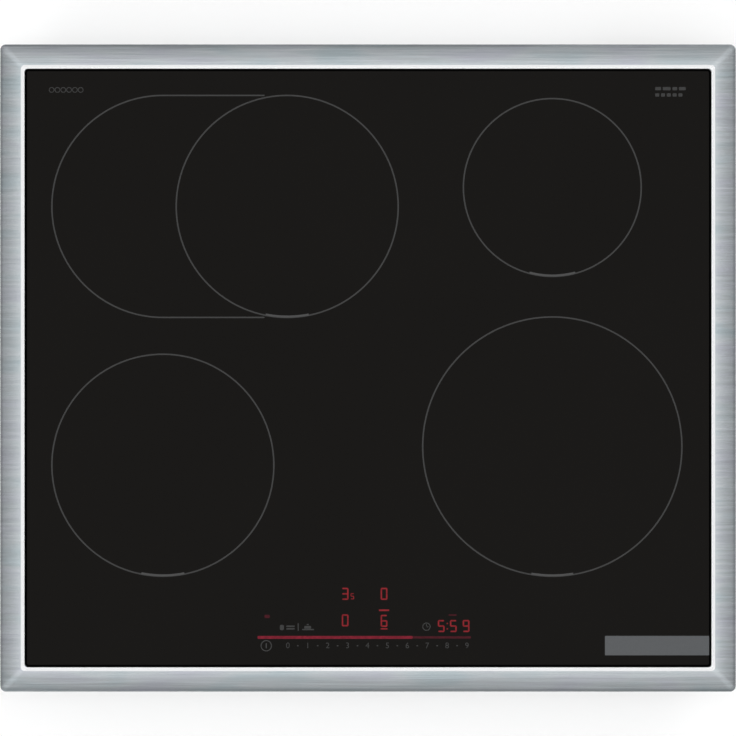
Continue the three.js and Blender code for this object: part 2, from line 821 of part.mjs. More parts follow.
// A radial impeller: a hub cup with a shaft, a back plate on top and blades around it.
function impellerSolid() {
  const plate = 1.5;
  const shaftTop = motorFoot - impellerFoot + motorHeight - motorCap - gap;
  const top = impellerHeight;
  const cup = turned(
    [
      [0, 0],
      [hubRadius, 0],
      [hubRadius, top - plate],
      [impellerRadius, top - plate],
      [impellerRadius, top],
      [hubRadius - hubWall, top],
      [hubRadius - hubWall, hubWall],
      [shaftRadius, hubWall],
      [shaftRadius, shaftTop],
      [0, shaftTop],
    ],
    24,
  );
  const blade = block(bladeThickness, bladeDepth, top - plate + 0.2)
    .rotate([0, 0, bladeLean])
    .translate([0, impellerRadius - bladeDepth / 2 - 1, 0]);
  const turns = [...Array(bladeCount).keys()].map((i) => (360 / bladeCount) * i);
  const blades = turns.map((turn) => blade.rotate([0, 0, turn]));
  const rim = bar(impellerRadius, plate, 0, 0, 0, 24);
  const ring = rim.subtract(bar(impellerRadius - 5, 10, 0, 0, -5, 24));
  return joined(cup, ring, ...blades);
}

function addBlower({ side, x }) {
  const assembly = new THREE.Group();
  assembly.position.set(x, blowerY, blowerBottom);
  group.add(assembly);
  const { darkPlastic, zincSteel, carrierPlastic } = materials;
  addPiece("blower_housing_" + side, blowerHousingSolid(), darkPlastic, [0, 0, 0], assembly);
  addPiece("blower_motor_" + side, motorSolid(), zincSteel, [0, 0, motorFoot], assembly);
  addPiece("impeller_" + side, impellerSolid(), carrierPlastic, [0, 0, impellerFoot], assembly);
}

// ---------------------------------------------------------------- touch controls

// The light guide: a plate with a well for each lit figure and for the slider.
function lightGuideSolid() {
  const plate = block(panelWidth - 10, panelDepth - 6, lightGuideHeight);
  const well = (x, y, width, depth) => block(width, depth, lightGuideHeight + 2, x, y, -1);
  const figureWell = 14;
  const figures = [-12, 17].flatMap((x) => [0, 20].map((y) => well(x, y, figureWell, figureWell)));
  const timer = well(72, 0, 34, figureWell);
  const slider = well(0, -13, panelWidth - 18, 5);
  const scale = row(10, 15.8).map((x) => well(x + 10, -20.5, 8, 5));
  return cut(plate, ...figures, timer, slider, ...scale);
}

// The bracket: a shallow tub on four legs that holds the touch board against the glass.
function panelBracketSolid(height) {
  const wall = 2;
  const tubHeight = 8;
  const foot = height - tubHeight;
  const tub = cut(
    block(panelWidth, panelDepth, tubHeight, 0, 0, foot),
    block(panelWidth - 2 * wall, panelDepth - 2 * wall, tubHeight, 0, 0, foot + wall),
  );
  const leg = 8;
  const legs = mirrored(panelWidth / 2 - 6).flatMap((x) =>
    mirrored(panelDepth / 2 - 6).map((y) => block(leg, leg, foot + 1, x, y)),
  );
  return joined(tub, ...legs);
}

function addTouchPanel() {
  const assembly = new THREE.Group();
  assembly.position.set(panelOffset, panelY, 0);
  group.add(assembly);
  const guideBottom = glassBottom - gap - lightGuideHeight;
  const boardLevel = guideBottom - gap - boardThickness;
  const bracketFoot = floorTop + gap;
  const bracketTop = boardLevel - gap;
  const { whitePlastic, circuitBoard, carrierPlastic } = materials;
  const board = block(panelWidth - 6, panelDepth - 4, boardThickness);
  addPiece("display_light_guide", lightGuideSolid(), whitePlastic, [0, 0, guideBottom], assembly);
  addPiece("touch_board", board, circuitBoard, [0, 0, boardLevel], assembly);
  const bracket = panelBracketSolid(bracketTop - bracketFoot);
  addPiece("touch_board_bracket", bracket, carrierPlastic, [0, 0, bracketFoot], assembly);
}

// ---------------------------------------------------------------- mains terminal

function terminalBoxSolid() {
  const middle = -terminalDepth / 2;
  const innerWidth = terminalWidth - 2 * terminalWall;
  const innerHeight = terminalHeight - 2 * terminalWall;
  const outer = block(terminalWidth, terminalDepth, terminalHeight, 0, middle);
  const inner = block(innerWidth, terminalDepth, innerHeight, 0, middle + terminalWall, terminalWall);
  const reach = hingeY - trayDepth / 2 + hingePinRadius + hingeWall;
  const earHeight = hingeZ - terminalTop + hingePinRadius + hingeWall + terminalWall;
  const earY = (reach - terminalWall) / 2;
  const earFoot = terminalHeight - terminalWall;
  const ears = mirrored(terminalWidth / 2 - earWidth / 2).map((x) =>
    block(earWidth, reach + terminalWall, earHeight, x, earY, earFoot),
  );
  const notchY = -terminalWall / 2;
  const notch = block(terminalWidth, terminalWall + 1, earHeight + 2, 0, notchY, terminalHeight);
  const [pinY, pinZ] = [hingeY - trayDepth / 2, hingeZ - terminalBottom];
  const pinHole = lyingBar(hingePinRadius + gap, terminalWidth + 4, 0, pinY, pinZ, 12);
  return cut(joined(outer.subtract(inner), ...ears), notch, pinHole);
}

function terminalBlockSolid() {
  const body = block(poleCount * polePitch + 4, terminalBlockDepth, 12);
  const screwWells = row(poleCount, polePitch).map((x) => bar(3.2, 8, x, 3, 5, 14));
  const barriers = row(poleCount + 1, polePitch).map((x) => block(1.4, terminalBlockDepth, 15, x));
  return joined(cut(body, ...screwWells), ...barriers);
}

// The flap: a plate under the hinge with two knuckles around the pin and a notch for the cable.
function terminalCoverSolid() {
  const width = terminalWidth + 4;
  const top = -(hingePinRadius + hingeWall + 1);
  const bottom = terminalBottom - 1.5 - hingeZ;
  const face = trayDepth / 2 + gap - hingeY;
  const middle = face + terminalCoverSheet / 2;
  const plate = block(width, terminalCoverSheet, top - bottom, 0, middle, bottom);
  const knuckleX = terminalWidth / 2 - earWidth - gap - knuckleWidth / 2;
  const knuckles = mirrored(knuckleX).map((x) =>
    joined(
      lyingBar(hingePinRadius + gap + hingeWall, knuckleWidth, x, 0, 0),
      block(knuckleWidth, terminalCoverSheet, -top + 1, x, middle, top - 1),
    ),
  );
  const notch = prism(slotShape(cableNotchWidth, 2 * cableNotchHeight), 20, 0, 6)
    .rotate([90, 0, 0])
    .translate([0, 10, bottom]);
  const bore = lyingBar(hingePinRadius + gap, width, 0, 0, 0);
  const earRoom = hingePinRadius + hingeWall + 4;
  const corners = mirrored(width / 2).map((x) =>
    block(2 * (earWidth + gap) + width - terminalWidth, 20, earRoom, x, 0, -earRoom),
  );
  return cut(joined(plate, ...knuckles), notch, bore, ...corners);
}

function addTerminal() {
  const { darkPlastic, whitePlastic, zincSteel } = materials;
  const blockY = trayDepth / 2 - terminalDepth + terminalWall + gap + terminalBlockDepth / 2;
  const blockPlace = [terminalX, blockY, terminalBottom + terminalWall + gap];
  const boxPlace = [terminalX, trayDepth / 2, terminalBottom];
  const hingePlace = [terminalX, hingeY, hingeZ];
  const pin = lyingBar(hingePinRadius, terminalWidth - 1, 0, 0, 0);
  addPiece("terminal_box", terminalBoxSolid(), darkPlastic, boxPlace);
  addPiece("terminal_block", terminalBlockSolid(), whitePlastic, blockPlace);
  addPiece("terminal_cover", terminalCoverSolid(), darkPlastic, hingePlace);
  addPiece("terminal_hinge_pin", pin, zincSteel, hingePlace);
}

// ---------------------------------------------------------------- fixing clips and screws

// The side view of a leaf spring that bows out from the tray's wall, as a strip of even thickness.
function clipOutline() {
  const hook = traySheet + 2 * gap + 2;
  const outward = new THREE.CubicBezierCurve(
    new THREE.Vector2(gap, 0),
    new THREE.Vector2(0.35 * clipBulge, 0.35 * clipHeight),
    new THREE.Vector2(1.15 * clipBulge, 0.55 * clipHeight),
    new THREE.Vector2(0.85 * clipBulge, clipHeight),
  );
  const inner = outward.getPoints(8);
  const outer = inner.map((point, i) => {
    const tangent = outward.getTangent(i / (inner.length - 1));
    return new THREE.Vector2(point.x + tangent.y * clipSheet, point.y - tangent.x * clipSheet);
  });
  const shape = new THREE.Shape();
  shape.moveTo(-hook, 0);
  shape.lineTo(-hook, -clipSheet);
  shape.lineTo(gap + clipSheet, -clipSheet);
  outer.forEach((point) => shape.lineTo(point.x, point.y));
  [...inner].reverse().forEach((point) => shape.lineTo(point.x, point.y));
  return shape;
}

function clipGeometry() {
  const settings = { depth: clipWidth, bevelEnabled: false };
  const strip = new THREE.ExtrudeGeometry(clipOutline(), settings);
  return strip.rotateX(Math.PI / 2).translate(0, clipWidth / 2, 0);
}

function addClips() {
  corners(mirrored(clipSpacing / 2)).forEach(({ label, sign, y }) => {
    const place = [(sign * trayWidth) / 2, y, clipFoot];
    const clip = addPiece("fixing_clip_" + label, clipGeometry(), materials.zincSteel, place);
    clip.rotation.z = sign < 0 ? Math.PI : 0;
  });
}

// A pan-head screw lying along X, its head outside the tray's wall.
function screwSolid() {
  const shank = traySheet + deckWallClearance + deckSheet + 2;
  return turned(
    [
      [0, -shank],
      [screwShankRadius - 0.6, -shank],
      [screwShankRadius, -shank + 1],
      [screwShankRadius, gap],
      [screwHeadRadius, gap],
      [screwHeadRadius, gap + 0.6 * screwHeadHeight],
      [screwHeadRadius - 1, gap + screwHeadHeight],
      [0, gap + screwHeadHeight],
    ],
    12,
  );
}

function addScrews() {
  corners(screwRows).forEach(({ label, sign, y }) => {
    const place = [(sign * trayWidth) / 2, y, screwHeight];
    const screw = addPiece("deck_screw_" + label, screwSolid(), materials.zincSteel, place);
    screw.rotation.y = (sign * Math.PI) / 2;
  });
}

// ---------------------------------------------------------------- assembly

addPiece("trim_frame", frameSolid(), materials.trimSteel);
addPiece("glass_panel", glassGeometry(), materials.glass, [0, 0, glassBottom]);
addPiece("glass_bead", beadSolid(), materials.sealRubber);
addPiece("worktop_seal", sealSolid(), materials.sealRubber);
addPiece("bottom_tray", traySolid(), materials.traySteel);
addPiece("coil_deck", deckSolid(), materials.deckAluminium);
zones.forEach(addRoundCoil);
addRoasterCoil();
addPiece("electronics_cradle", cradleSolid(), materials.carrierPlastic, [0, 0, cradleBottom]);
addPowerBoard("left", -1);
addPowerBoard("right", 1);
addFilterBoard();
blowerPlaces.forEach(addBlower);
addTouchPanel();
addTerminal();
addClips();
addScrews();

export default group;
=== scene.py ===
"""Looks of a built-in induction hob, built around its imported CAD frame.

Metres, +X to the user's right, +Y to the rear, +Z up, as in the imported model.
"""

import json
import logging
import math
from contextlib import contextmanager
from dataclasses import dataclass, field
from enum import Enum
from functools import lru_cache
from typing import Callable, Iterator, Sequence

import bmesh
import bpy
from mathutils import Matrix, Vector

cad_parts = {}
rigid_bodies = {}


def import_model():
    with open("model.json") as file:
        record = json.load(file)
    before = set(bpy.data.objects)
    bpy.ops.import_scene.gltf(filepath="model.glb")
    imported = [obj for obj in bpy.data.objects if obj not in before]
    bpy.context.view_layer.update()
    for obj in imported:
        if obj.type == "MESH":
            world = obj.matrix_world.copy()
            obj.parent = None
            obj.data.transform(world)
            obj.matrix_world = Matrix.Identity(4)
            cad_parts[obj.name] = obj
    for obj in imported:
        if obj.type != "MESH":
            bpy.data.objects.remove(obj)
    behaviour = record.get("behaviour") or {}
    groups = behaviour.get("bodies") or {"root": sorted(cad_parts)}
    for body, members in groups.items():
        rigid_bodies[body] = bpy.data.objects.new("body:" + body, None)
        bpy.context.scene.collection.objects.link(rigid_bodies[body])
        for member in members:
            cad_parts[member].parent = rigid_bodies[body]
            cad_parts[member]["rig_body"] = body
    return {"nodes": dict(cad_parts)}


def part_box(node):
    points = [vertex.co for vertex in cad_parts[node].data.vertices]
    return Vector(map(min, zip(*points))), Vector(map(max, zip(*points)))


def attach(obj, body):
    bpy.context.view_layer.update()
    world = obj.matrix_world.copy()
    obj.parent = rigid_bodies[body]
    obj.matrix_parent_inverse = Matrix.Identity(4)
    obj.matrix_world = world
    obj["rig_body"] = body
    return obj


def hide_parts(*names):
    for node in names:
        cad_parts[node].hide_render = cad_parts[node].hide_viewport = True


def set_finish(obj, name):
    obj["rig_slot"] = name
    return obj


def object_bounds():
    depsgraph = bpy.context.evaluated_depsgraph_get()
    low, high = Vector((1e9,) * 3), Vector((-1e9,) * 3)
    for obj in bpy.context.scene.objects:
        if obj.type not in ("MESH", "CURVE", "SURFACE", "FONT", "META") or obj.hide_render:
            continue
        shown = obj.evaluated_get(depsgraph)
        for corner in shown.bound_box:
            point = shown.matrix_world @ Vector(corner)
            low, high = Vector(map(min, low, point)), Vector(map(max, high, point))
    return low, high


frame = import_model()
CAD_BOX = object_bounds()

logging.basicConfig(level=logging.INFO, format="%(message)s")
LOG = logging.getLogger("hob")

MM = 0.001
ROOT = "hob"
SIDES = ("left", "right")
ENDS = ("front", "rear")
ZONES = ("rear_left", "rear_right", "front_left", "front_right")
Colour = tuple[float, float, float, float]
Point = tuple[float, float, float]


# ---------------------------------------------------------------- shader language


class Signal:
    """A shader socket that takes part in arithmetic."""

    def __init__(self, shader: "Shader", socket: bpy.types.NodeSocket) -> None:
        """Keeps the socket and the material it belongs to.

        Args:
            shader: The material under construction.
            socket: The output socket to wrap.
        """
        self.shader = shader
        self.socket = socket

    def _math(self, operation: str, *values: "Signal | float") -> "Signal":
        """One Math node over the given values.

        Args:
            operation: The Math node's operation.
            values: Its inputs, in order.

        Returns:
            The node's result.
        """
        return self.shader.add("ShaderNodeMath", {"operation": operation}, dict(enumerate(values)))

    def __add__(self, other: "Signal | float") -> "Signal":
        """The sum of both."""
        return self._math("ADD", self, other)

    def __radd__(self, other: float) -> "Signal":
        """The sum of both, number first."""
        return self._math("ADD", other, self)

    def __sub__(self, other: "Signal | float") -> "Signal":
        """This less the other."""
        return self._math("SUBTRACT", self, other)

    def __rsub__(self, other: float) -> "Signal":
        """The number less this."""
        return self._math("SUBTRACT", other, self)

    def __mul__(self, other: "Signal | float") -> "Signal":
        """The product of both."""
        return self._math("MULTIPLY", self, other)

    def __rmul__(self, other: float) -> "Signal":
        """The product of both, number first."""
        return self._math("MULTIPLY", other, self)

    def between(self, low: float, high: float) -> "Signal":
        """A soft step from 0 at the low end to 1 at the high end."""
        limits = {"Value": self, "From Min": low, "From Max": high}
        return self.shader.add("ShaderNodeMapRange", {"interpolation_type": "SMOOTHSTEP"}, limits)


class Shader:
    """A Principled material under construction, read in the object's own coordinates."""

    def __init__(self, name: str) -> None:
        """Starts a material with its surface node.

        Args:
            name: The material's name.
        """
        self.material = bpy.data.materials.new(name)
        self.material.use_nodes = True
        self.tree = self.material.node_tree
        self.surface_node = self.tree.nodes["Principled BSDF"]

    def add(
        self,
        kind: str,
        settings: dict[str, object] | None = None,
        inputs: dict[str | int, object] | None = None,
        output: int | str = 0,
    ) -> Signal:
        """Adds one node.

        Args:
            kind: The node's type.
            settings: The node's own settings, set first; stops fills a colour ramp.
            inputs: Values or signals for its sockets, by name or number.
            output: The output to hand back.

        Returns:
            That output as a signal.
        """
        node = self.tree.nodes.new(kind)
        for key, value in (settings or {}).items():
            if key == "stops":
                self._set_stops(node.color_ramp, value)
            else:
                setattr(node, key, value)
        for key, value in (inputs or {}).items():
            self.feed(node.inputs[key], value)
        return Signal(self, node.outputs[output])

    @staticmethod
    def _set_stops(ramp: bpy.types.ColorRamp, stops: Sequence[tuple[float, Colour]]) -> None:
        """Fills a colour ramp.

        Args:
            ramp: The ramp to fill.
            stops: Its places and colours, in order.
        """
        while len(ramp.elements) < len(stops):
            ramp.elements.new(1.0)
        for element, (place, colour) in zip(ramp.elements, stops):
            element.position = place
            element.color = colour

    def feed(self, socket: bpy.types.NodeSocket, value: object) -> None:
        """Links a signal to a socket, or sets its value.

        Args:
            socket: The input socket.
            value: A signal, a number or a colour.
        """
        if isinstance(value, Signal):
            self.tree.links.new(value.socket, socket)
        else:
            socket.default_value = value

    def surface(self, **sockets: object) -> None:
        """Sets the surface's sockets; an underscore in a name stands for a space."""
        for key, value in sockets.items():
            self.feed(self.surface_node.inputs[key.replace("_", " ")], value)

    def place(self, scale: Point) -> Signal:
        """The object's coordinates, stretched to so many pattern units per metre along each axis."""
        coordinates = self.add("ShaderNodeTexCoord", output="Object")
        return self.add("ShaderNodeMapping", {}, {"Vector": coordinates, "Scale": scale})

    def noise(self, scale: Point, detail: float = 3, roughness: float = 0.55) -> Signal:
        """Cloudy noise at a real scale.

        Args:
            scale: Cells per metre along each axis.
            detail: Octaves of finer noise.
            roughness: Strength of the finer octaves.

        Returns:
            A value around one half.
        """
        inputs = {"Vector": self.place(scale), "Scale": 1, "Detail": detail, "Roughness": roughness}
        return self.add("ShaderNodeTexNoise", {}, inputs)

    def cells(self, scale: Point, feature: str = "F1", output: str = "Distance") -> Signal:
        """Voronoi cells at a real scale.

        Args:
            scale: Cells per metre along each axis.
            feature: Which distance is measured.
            output: Distance or Color.

        Returns:
            The chosen output.
        """
        inputs = {"Vector": self.place(scale), "Scale": 1}
        return self.add("ShaderNodeTexVoronoi", {"feature": feature}, inputs, output)

    def mix(self, factor: Signal | float, low: object, high: object) -> Signal:
        """A colour between two.

        Args:
            factor: 0 for the low colour, 1 for the high one.
            low: A colour or a colour signal.
            high: A colour or a colour signal.

        Returns:
            The mixed colour.
        """
        return self.add("ShaderNodeMix", {"data_type": "RGBA"}, {0: factor, 6: low, 7: high}, 2)

    def relief(self, height: Signal, depth: float, strength: float = 1) -> None:
        """Turns a height into the surface's bump.

        Args:
            height: The relief, 0 to 1.
            depth: The height of 1, in metres.
            strength: How much of it shows.
        """
        inputs = {"Height": height, "Distance": depth, "Strength": strength}
        self.surface(Normal=self.add("ShaderNodeBump", {}, inputs))


def grey(value: float, warmth: float = 0) -> Colour:
    """A neutral colour, or a slightly warm or cool one.

    Args:
        value: Its lightness, linear.
        warmth: Share added to red and taken from blue.

    Returns:
        The colour.
    """
    return (value * (1 + warmth), value, value * (1 - warmth), 1)


# ---------------------------------------------------------------- finishes


@dataclass(frozen=True)
class Finish:
    """A surface finish; each kind shades a material in its own way."""

    name: str

    def shade(self, shader: Shader) -> None:
        """Sets up the material's nodes.

        Args:
            shader: The new material.
        """
        raise NotImplementedError


@lru_cache(maxsize=None)
def material_of(finish: Finish) -> bpy.types.Material:
    """The material of a finish, made once.

    Args:
        finish: The finish.

    Returns:
        Its material.
    """
    shader = Shader(finish.name)
    finish.shade(shader)
    return shader.material


@dataclass(frozen=True)
class BrushedSteel(Finish):
    """Stainless steel brushed along X, with soft streaks and a faint cool tint."""

    dark: Colour = (0.41, 0.445, 0.46, 1)
    light: Colour = (0.605, 0.642, 0.67, 1)
    gloss: float = 0.23

    def shade(self, shader: Shader) -> None:
        """Long fine hairlines, broad streaks and a drifting tint.

        Args:
            shader: The new material.
        """
        hairlines = shader.noise((18, 2600, 500), detail=5, roughness=0.7)
        streaks = shader.noise((9, 420, 90), detail=3)
        patches = shader.noise((16, 60, 30), detail=2)
        lightness = hairlines * 0.55 + streaks * 0.45
        steel = shader.mix(lightness.between(0.25, 0.75), self.dark, self.light)
        tints = [(0.3, (0.80, 0.90, 0.92, 1)), (0.5, (1, 1, 1, 1)), (0.72, (0.93, 0.88, 0.97, 1))]
        tint = shader.add("ShaderNodeValToRGB", {"stops": tints}, {"Fac": patches})
        tinted = shader.add(
            "ShaderNodeMix",
            {"data_type": "RGBA", "blend_type": "MULTIPLY"},
            {0: 0.6, 6: steel, 7: tint},
            2,
        )
        roughness = self.gloss + (hairlines - 0.5) * 0.18 + (streaks - 0.5) * 0.1
        shader.surface(Base_Color=tinted, Roughness=roughness, Metallic=1.0)
        shader.relief(hairlines * 0.7 + streaks * 0.3, 0.03 * MM, 0.4)


@dataclass(frozen=True)
class PolishedSteel(Finish):
    """The drawn and polished inner edge of the frame, its steel lightened as a painted highlight."""

    # light: the lip's steel lightness, well above the brushed frame's, a painted highlight
    light: float = 0.80

    def shade(self, shader: Shader) -> None:
        """Fine drawn lines that barely dull the polish, on a steel colour lightened as a painted highlight.

        Args:
            shader: The new material.
        """
        lines = shader.noise((30, 1800, 900), detail=3)
        colour = shader.mix(lines, grey(self.light * 0.96, -0.01), grey(self.light, -0.01))
        shader.surface(Base_Color=colour, Roughness=0.2 + lines * 0.08, Metallic=1.0)
        shader.relief(lines, 0.01 * MM, 0.12)


@dataclass(frozen=True)
class CeramicGlass(Finish):
    """Black glass-ceramic with a faint polish ripple."""

    tone: float = 0.0104

    def shade(self, shader: Shader) -> None:
        """Near-black body, tiny variation in depth and gloss.

        Args:
            shader: The new material.
        """
        drift = shader.noise((8, 8, 8), detail=2)
        specks = shader.noise((900, 900, 900), detail=2)
        colour = shader.mix(drift, grey(self.tone * 0.9, 0.14), grey(self.tone * 1.1, 0.14))
        shader.surface(Base_Color=colour, Roughness=0.035 + specks * 0.03)
        shader.surface(IOR=1.5, Coat_Weight=0.0)
        shader.relief(shader.noise((25, 25, 25), detail=1), 0.02 * MM, 0.15)


@dataclass(frozen=True)
class Enamel(Finish):
    """Fired ceramic print on the glass."""

    tone: float = 0.09
    warmth: float = 0.0

    def shade(self, shader: Shader) -> None:
        """Fine screen-print grain under a thin glossy skin.

        Args:
            shader: The new material.
        """
        grain = shader.noise((2400, 2400, 2400), detail=2)
        colour = shader.mix(grain, grey(self.tone * 0.8, self.warmth), grey(self.tone * 1.2, self.warmth))
        shader.surface(Base_Color=colour, Roughness=0.05 + grain * 0.05)
        shader.relief(grain, 0.003 * MM, 0.4)


@dataclass(frozen=True)
class LitFigure(Finish):
    """Red light shining through the glass."""

    colour: Colour = (0.27, 0.018, 0.025, 1)
    strength: float = 1.0
    body: Colour = (0.012, 0.003, 0.003, 1)

    def shade(self, shader: Shader) -> None:
        """Uneven glow of small diodes behind a diffuser.

        Args:
            shader: The new material.
        """
        glow = shader.noise((420, 420, 420), detail=1)
        dim = tuple(c * 0.72 for c in self.colour[:3]) + (1,)
        colour = shader.mix(glow.between(0.3, 0.7), dim, self.colour)
        shader.surface(Base_Color=self.body, Roughness=0.08 + glow * 0.04)
        shader.surface(Emission_Color=colour, Emission_Strength=self.strength)


@dataclass(frozen=True)
class ZincSheet(Finish):
    """Hot-dip zinc sheet with its frozen spangle."""

    light: float = 0.52
    dark: float = 0.34
    spangle: float = 140

    def shade(self, shader: Shader) -> None:
        """Spangle cells of slightly different grey, rolled lines and dull blooms.

        Args:
            shader: The new material.
        """
        scale = (self.spangle,) * 3
        facets = shader.cells(scale, output="Color")
        crystal = shader.add("ShaderNodeSeparateColor", {}, {0: facets}, "Red")
        bloom = shader.noise((22, 22, 22), detail=3)
        rolled = shader.noise((60, 1500, 1500), detail=3)
        tone = crystal * 0.5 + bloom * 0.35 + rolled * 0.15
        colour = shader.mix(tone, grey(self.dark, -0.03), grey(self.light, -0.03))
        roughness = 0.32 + bloom * 0.16 + crystal * 0.1
        shader.surface(Base_Color=colour, Roughness=roughness, Metallic=0.92)
        shader.relief(rolled * 0.5 + crystal * 0.5, 0.02 * MM, 0.35)


@dataclass(frozen=True)
class BareMetal(Finish):
    """Plain rolled, drawn or turned metal."""

    colour: Colour = grey(0.6)
    gloss: float = 0.32
    grain: Point = (40, 2000, 2000)

    def shade(self, shader: Shader) -> None:
        """Grain lines, a few scuffs and a light drift of tone.

        Args:
            shader: The new material.
        """
        lines = shader.noise(self.grain, detail=4)
        drift = shader.noise((30, 30, 30), detail=3)
        scuffs = shader.noise((160, 700, 300), detail=2).between(0.62, 0.75)
        dull = tuple(c * 0.68 for c in self.colour[:3]) + (1,)
        colour = shader.mix(lines * 0.6 + drift * 0.4, dull, self.colour)
        roughness = self.gloss + lines * 0.12 + scuffs * 0.15
        shader.surface(Base_Color=colour, Roughness=roughness, Metallic=0.95)
        shader.relief(lines, 0.02 * MM, 0.4)


@dataclass(frozen=True)
class MouldedPlastic(Finish):
    """Injection-moulded plastic with a spark-eroded grain."""

    colour: Colour = grey(0.02)
    gloss: float = 0.5
    grain: float = 1500

    def shade(self, shader: Shader) -> None:
        """Fine grain, flow marks and slightly uneven gloss.

        Args:
            shader: The new material.
        """
        grain = shader.noise((self.grain,) * 3, detail=3)
        flow = shader.noise((35, 20, 35), detail=3)
        pale = tuple(min(1.0, c * 1.35 + 0.004) for c in self.colour[:3]) + (1,)
        colour = shader.mix(flow * 0.5 + grain * 0.5, self.colour, pale)
        shader.surface(Base_Color=colour, Roughness=self.gloss + (flow - 0.5) * 0.2 + grain * 0.06)
        shader.relief(grain, 0.05 * MM, 0.45)


@dataclass(frozen=True)
class Rubber(Finish):
    """Soft black sealant or closed-cell foam."""

    tone: float = 0.006
    pore: float = 700
    dullness: float = 0.62
    shine: float = 0.08

    def shade(self, shader: Shader) -> None:
        """Small pores and smears.

        Args:
            shader: The new material.
        """
        pores = shader.cells((self.pore,) * 3)
        smear = shader.noise((60, 60, 60), detail=2)
        colour = shader.mix(pores * 0.5 + smear * 0.5, grey(self.tone), grey(self.tone * 1.8))
        shader.surface(Base_Color=colour, Roughness=self.dullness + smear * 0.2)
        shader.surface(Specular_IOR_Level=self.shine)
        shader.relief(pores, 0.08 * MM, 0.4)


@dataclass(frozen=True)
class LitzWire(Finish):
    """Bundled enamelled copper strands."""

    copper: Colour = (0.45, 0.17, 0.075, 1)

    def shade(self, shader: Shader) -> None:
        """Diagonal strands, with painted shade as dark copper in the gaps between them.

        Args:
            shader: The new material.
        """
        strands = shader.noise((1900, 1900, 500), detail=2)
        drift = shader.noise((70, 70, 70), detail=2)
        # Dark copper for the gaps between strands: painted shade.
        dark = (0.12, 0.045, 0.022, 1)
        colour = shader.mix(strands.between(0.35, 0.62), dark, self.copper)
        shader.surface(Base_Color=colour, Roughness=0.34 + drift * 0.18, Metallic=0.85)
        shader.relief(strands, 0.15 * MM, 0.6)


@dataclass(frozen=True)
class Mica(Finish):
    """Pressed mica paper with pearly flakes."""

    tone: Colour = (0.46, 0.42, 0.33, 1)

    def shade(self, shader: Shader) -> None:
        """Small overlapping flakes of different sheen.

        Args:
            shader: The new material.
        """
        flakes = shader.cells((520, 520, 520), output="Color")
        flake = shader.add("ShaderNodeSeparateColor", {}, {0: flakes}, "Green")
        stain = shader.noise((40, 40, 40), detail=3)
        pale = tuple(min(1.0, c * 1.3) for c in self.tone[:3]) + (1,)
        colour = shader.mix(flake * 0.6 + stain * 0.4, self.tone, pale)
        shader.surface(Base_Color=colour, Roughness=0.3 + flake * 0.35)
        shader.relief(flake, 0.04 * MM, 0.5)


@dataclass(frozen=True)
class CircuitBoard(Finish):
    """Green solder mask over copper tracks, with tinned pads."""

    mask: Colour = (0.012, 0.085, 0.03, 1)

    def shade(self, shader: Shader) -> None:
        """Tracks from stretched cell borders, and a sprinkle of round pads.

        Args:
            shader: The new material.
        """
        border = shader.cells((110, 160, 1), "DISTANCE_TO_EDGE")
        tracks = 1 - border.between(0.03, 0.06)
        pads = 1 - shader.cells((190, 190, 1)).between(0.12, 0.15)
        track_green = (0.03, 0.2, 0.07, 1)
        green = shader.mix(tracks, self.mask, track_green)
        colour = shader.mix(pads, green, (0.55, 0.56, 0.55, 1))
        shader.surface(Base_Color=colour, Roughness=0.35 - pads * 0.08, Metallic=pads * 0.9)
        shader.relief(tracks * 0.6 + pads * 0.4, 0.04 * MM, 0.7)


@dataclass(frozen=True)
class Ferrite(Finish):
    """Sintered ferrite, dark and slightly sparkling."""

    tone: float = 0.035

    def shade(self, shader: Shader) -> None:
        """Sintered grains and chalky wear.

        Args:
            shader: The new material.
        """
        grains = shader.cells((1600, 1600, 1600))
        wear = shader.noise((120, 120, 120), detail=3).between(0.5, 0.75)
        colour = shader.mix(grains * 0.5 + wear * 0.5, grey(self.tone), grey(self.tone * 2.4))
        shader.surface(Base_Color=colour, Roughness=0.5 + wear * 0.25, Metallic=0.2)
        shader.relief(grains, 0.05 * MM, 0.5)


@dataclass(frozen=True)
class StudioFloor(Finish):
    """A pale, seamless studio floor."""

    tone: float = 0.92

    def shade(self, shader: Shader) -> None:
        """A matt sheet with the faintest mottling.

        Args:
            shader: The new material.
        """
        mottle = shader.noise((3, 3, 3), detail=2)
        colour = shader.mix(mottle, grey(self.tone * 0.99), grey(self.tone))
        shader.surface(Base_Color=colour, Roughness=0.75 + mottle * 0.1)


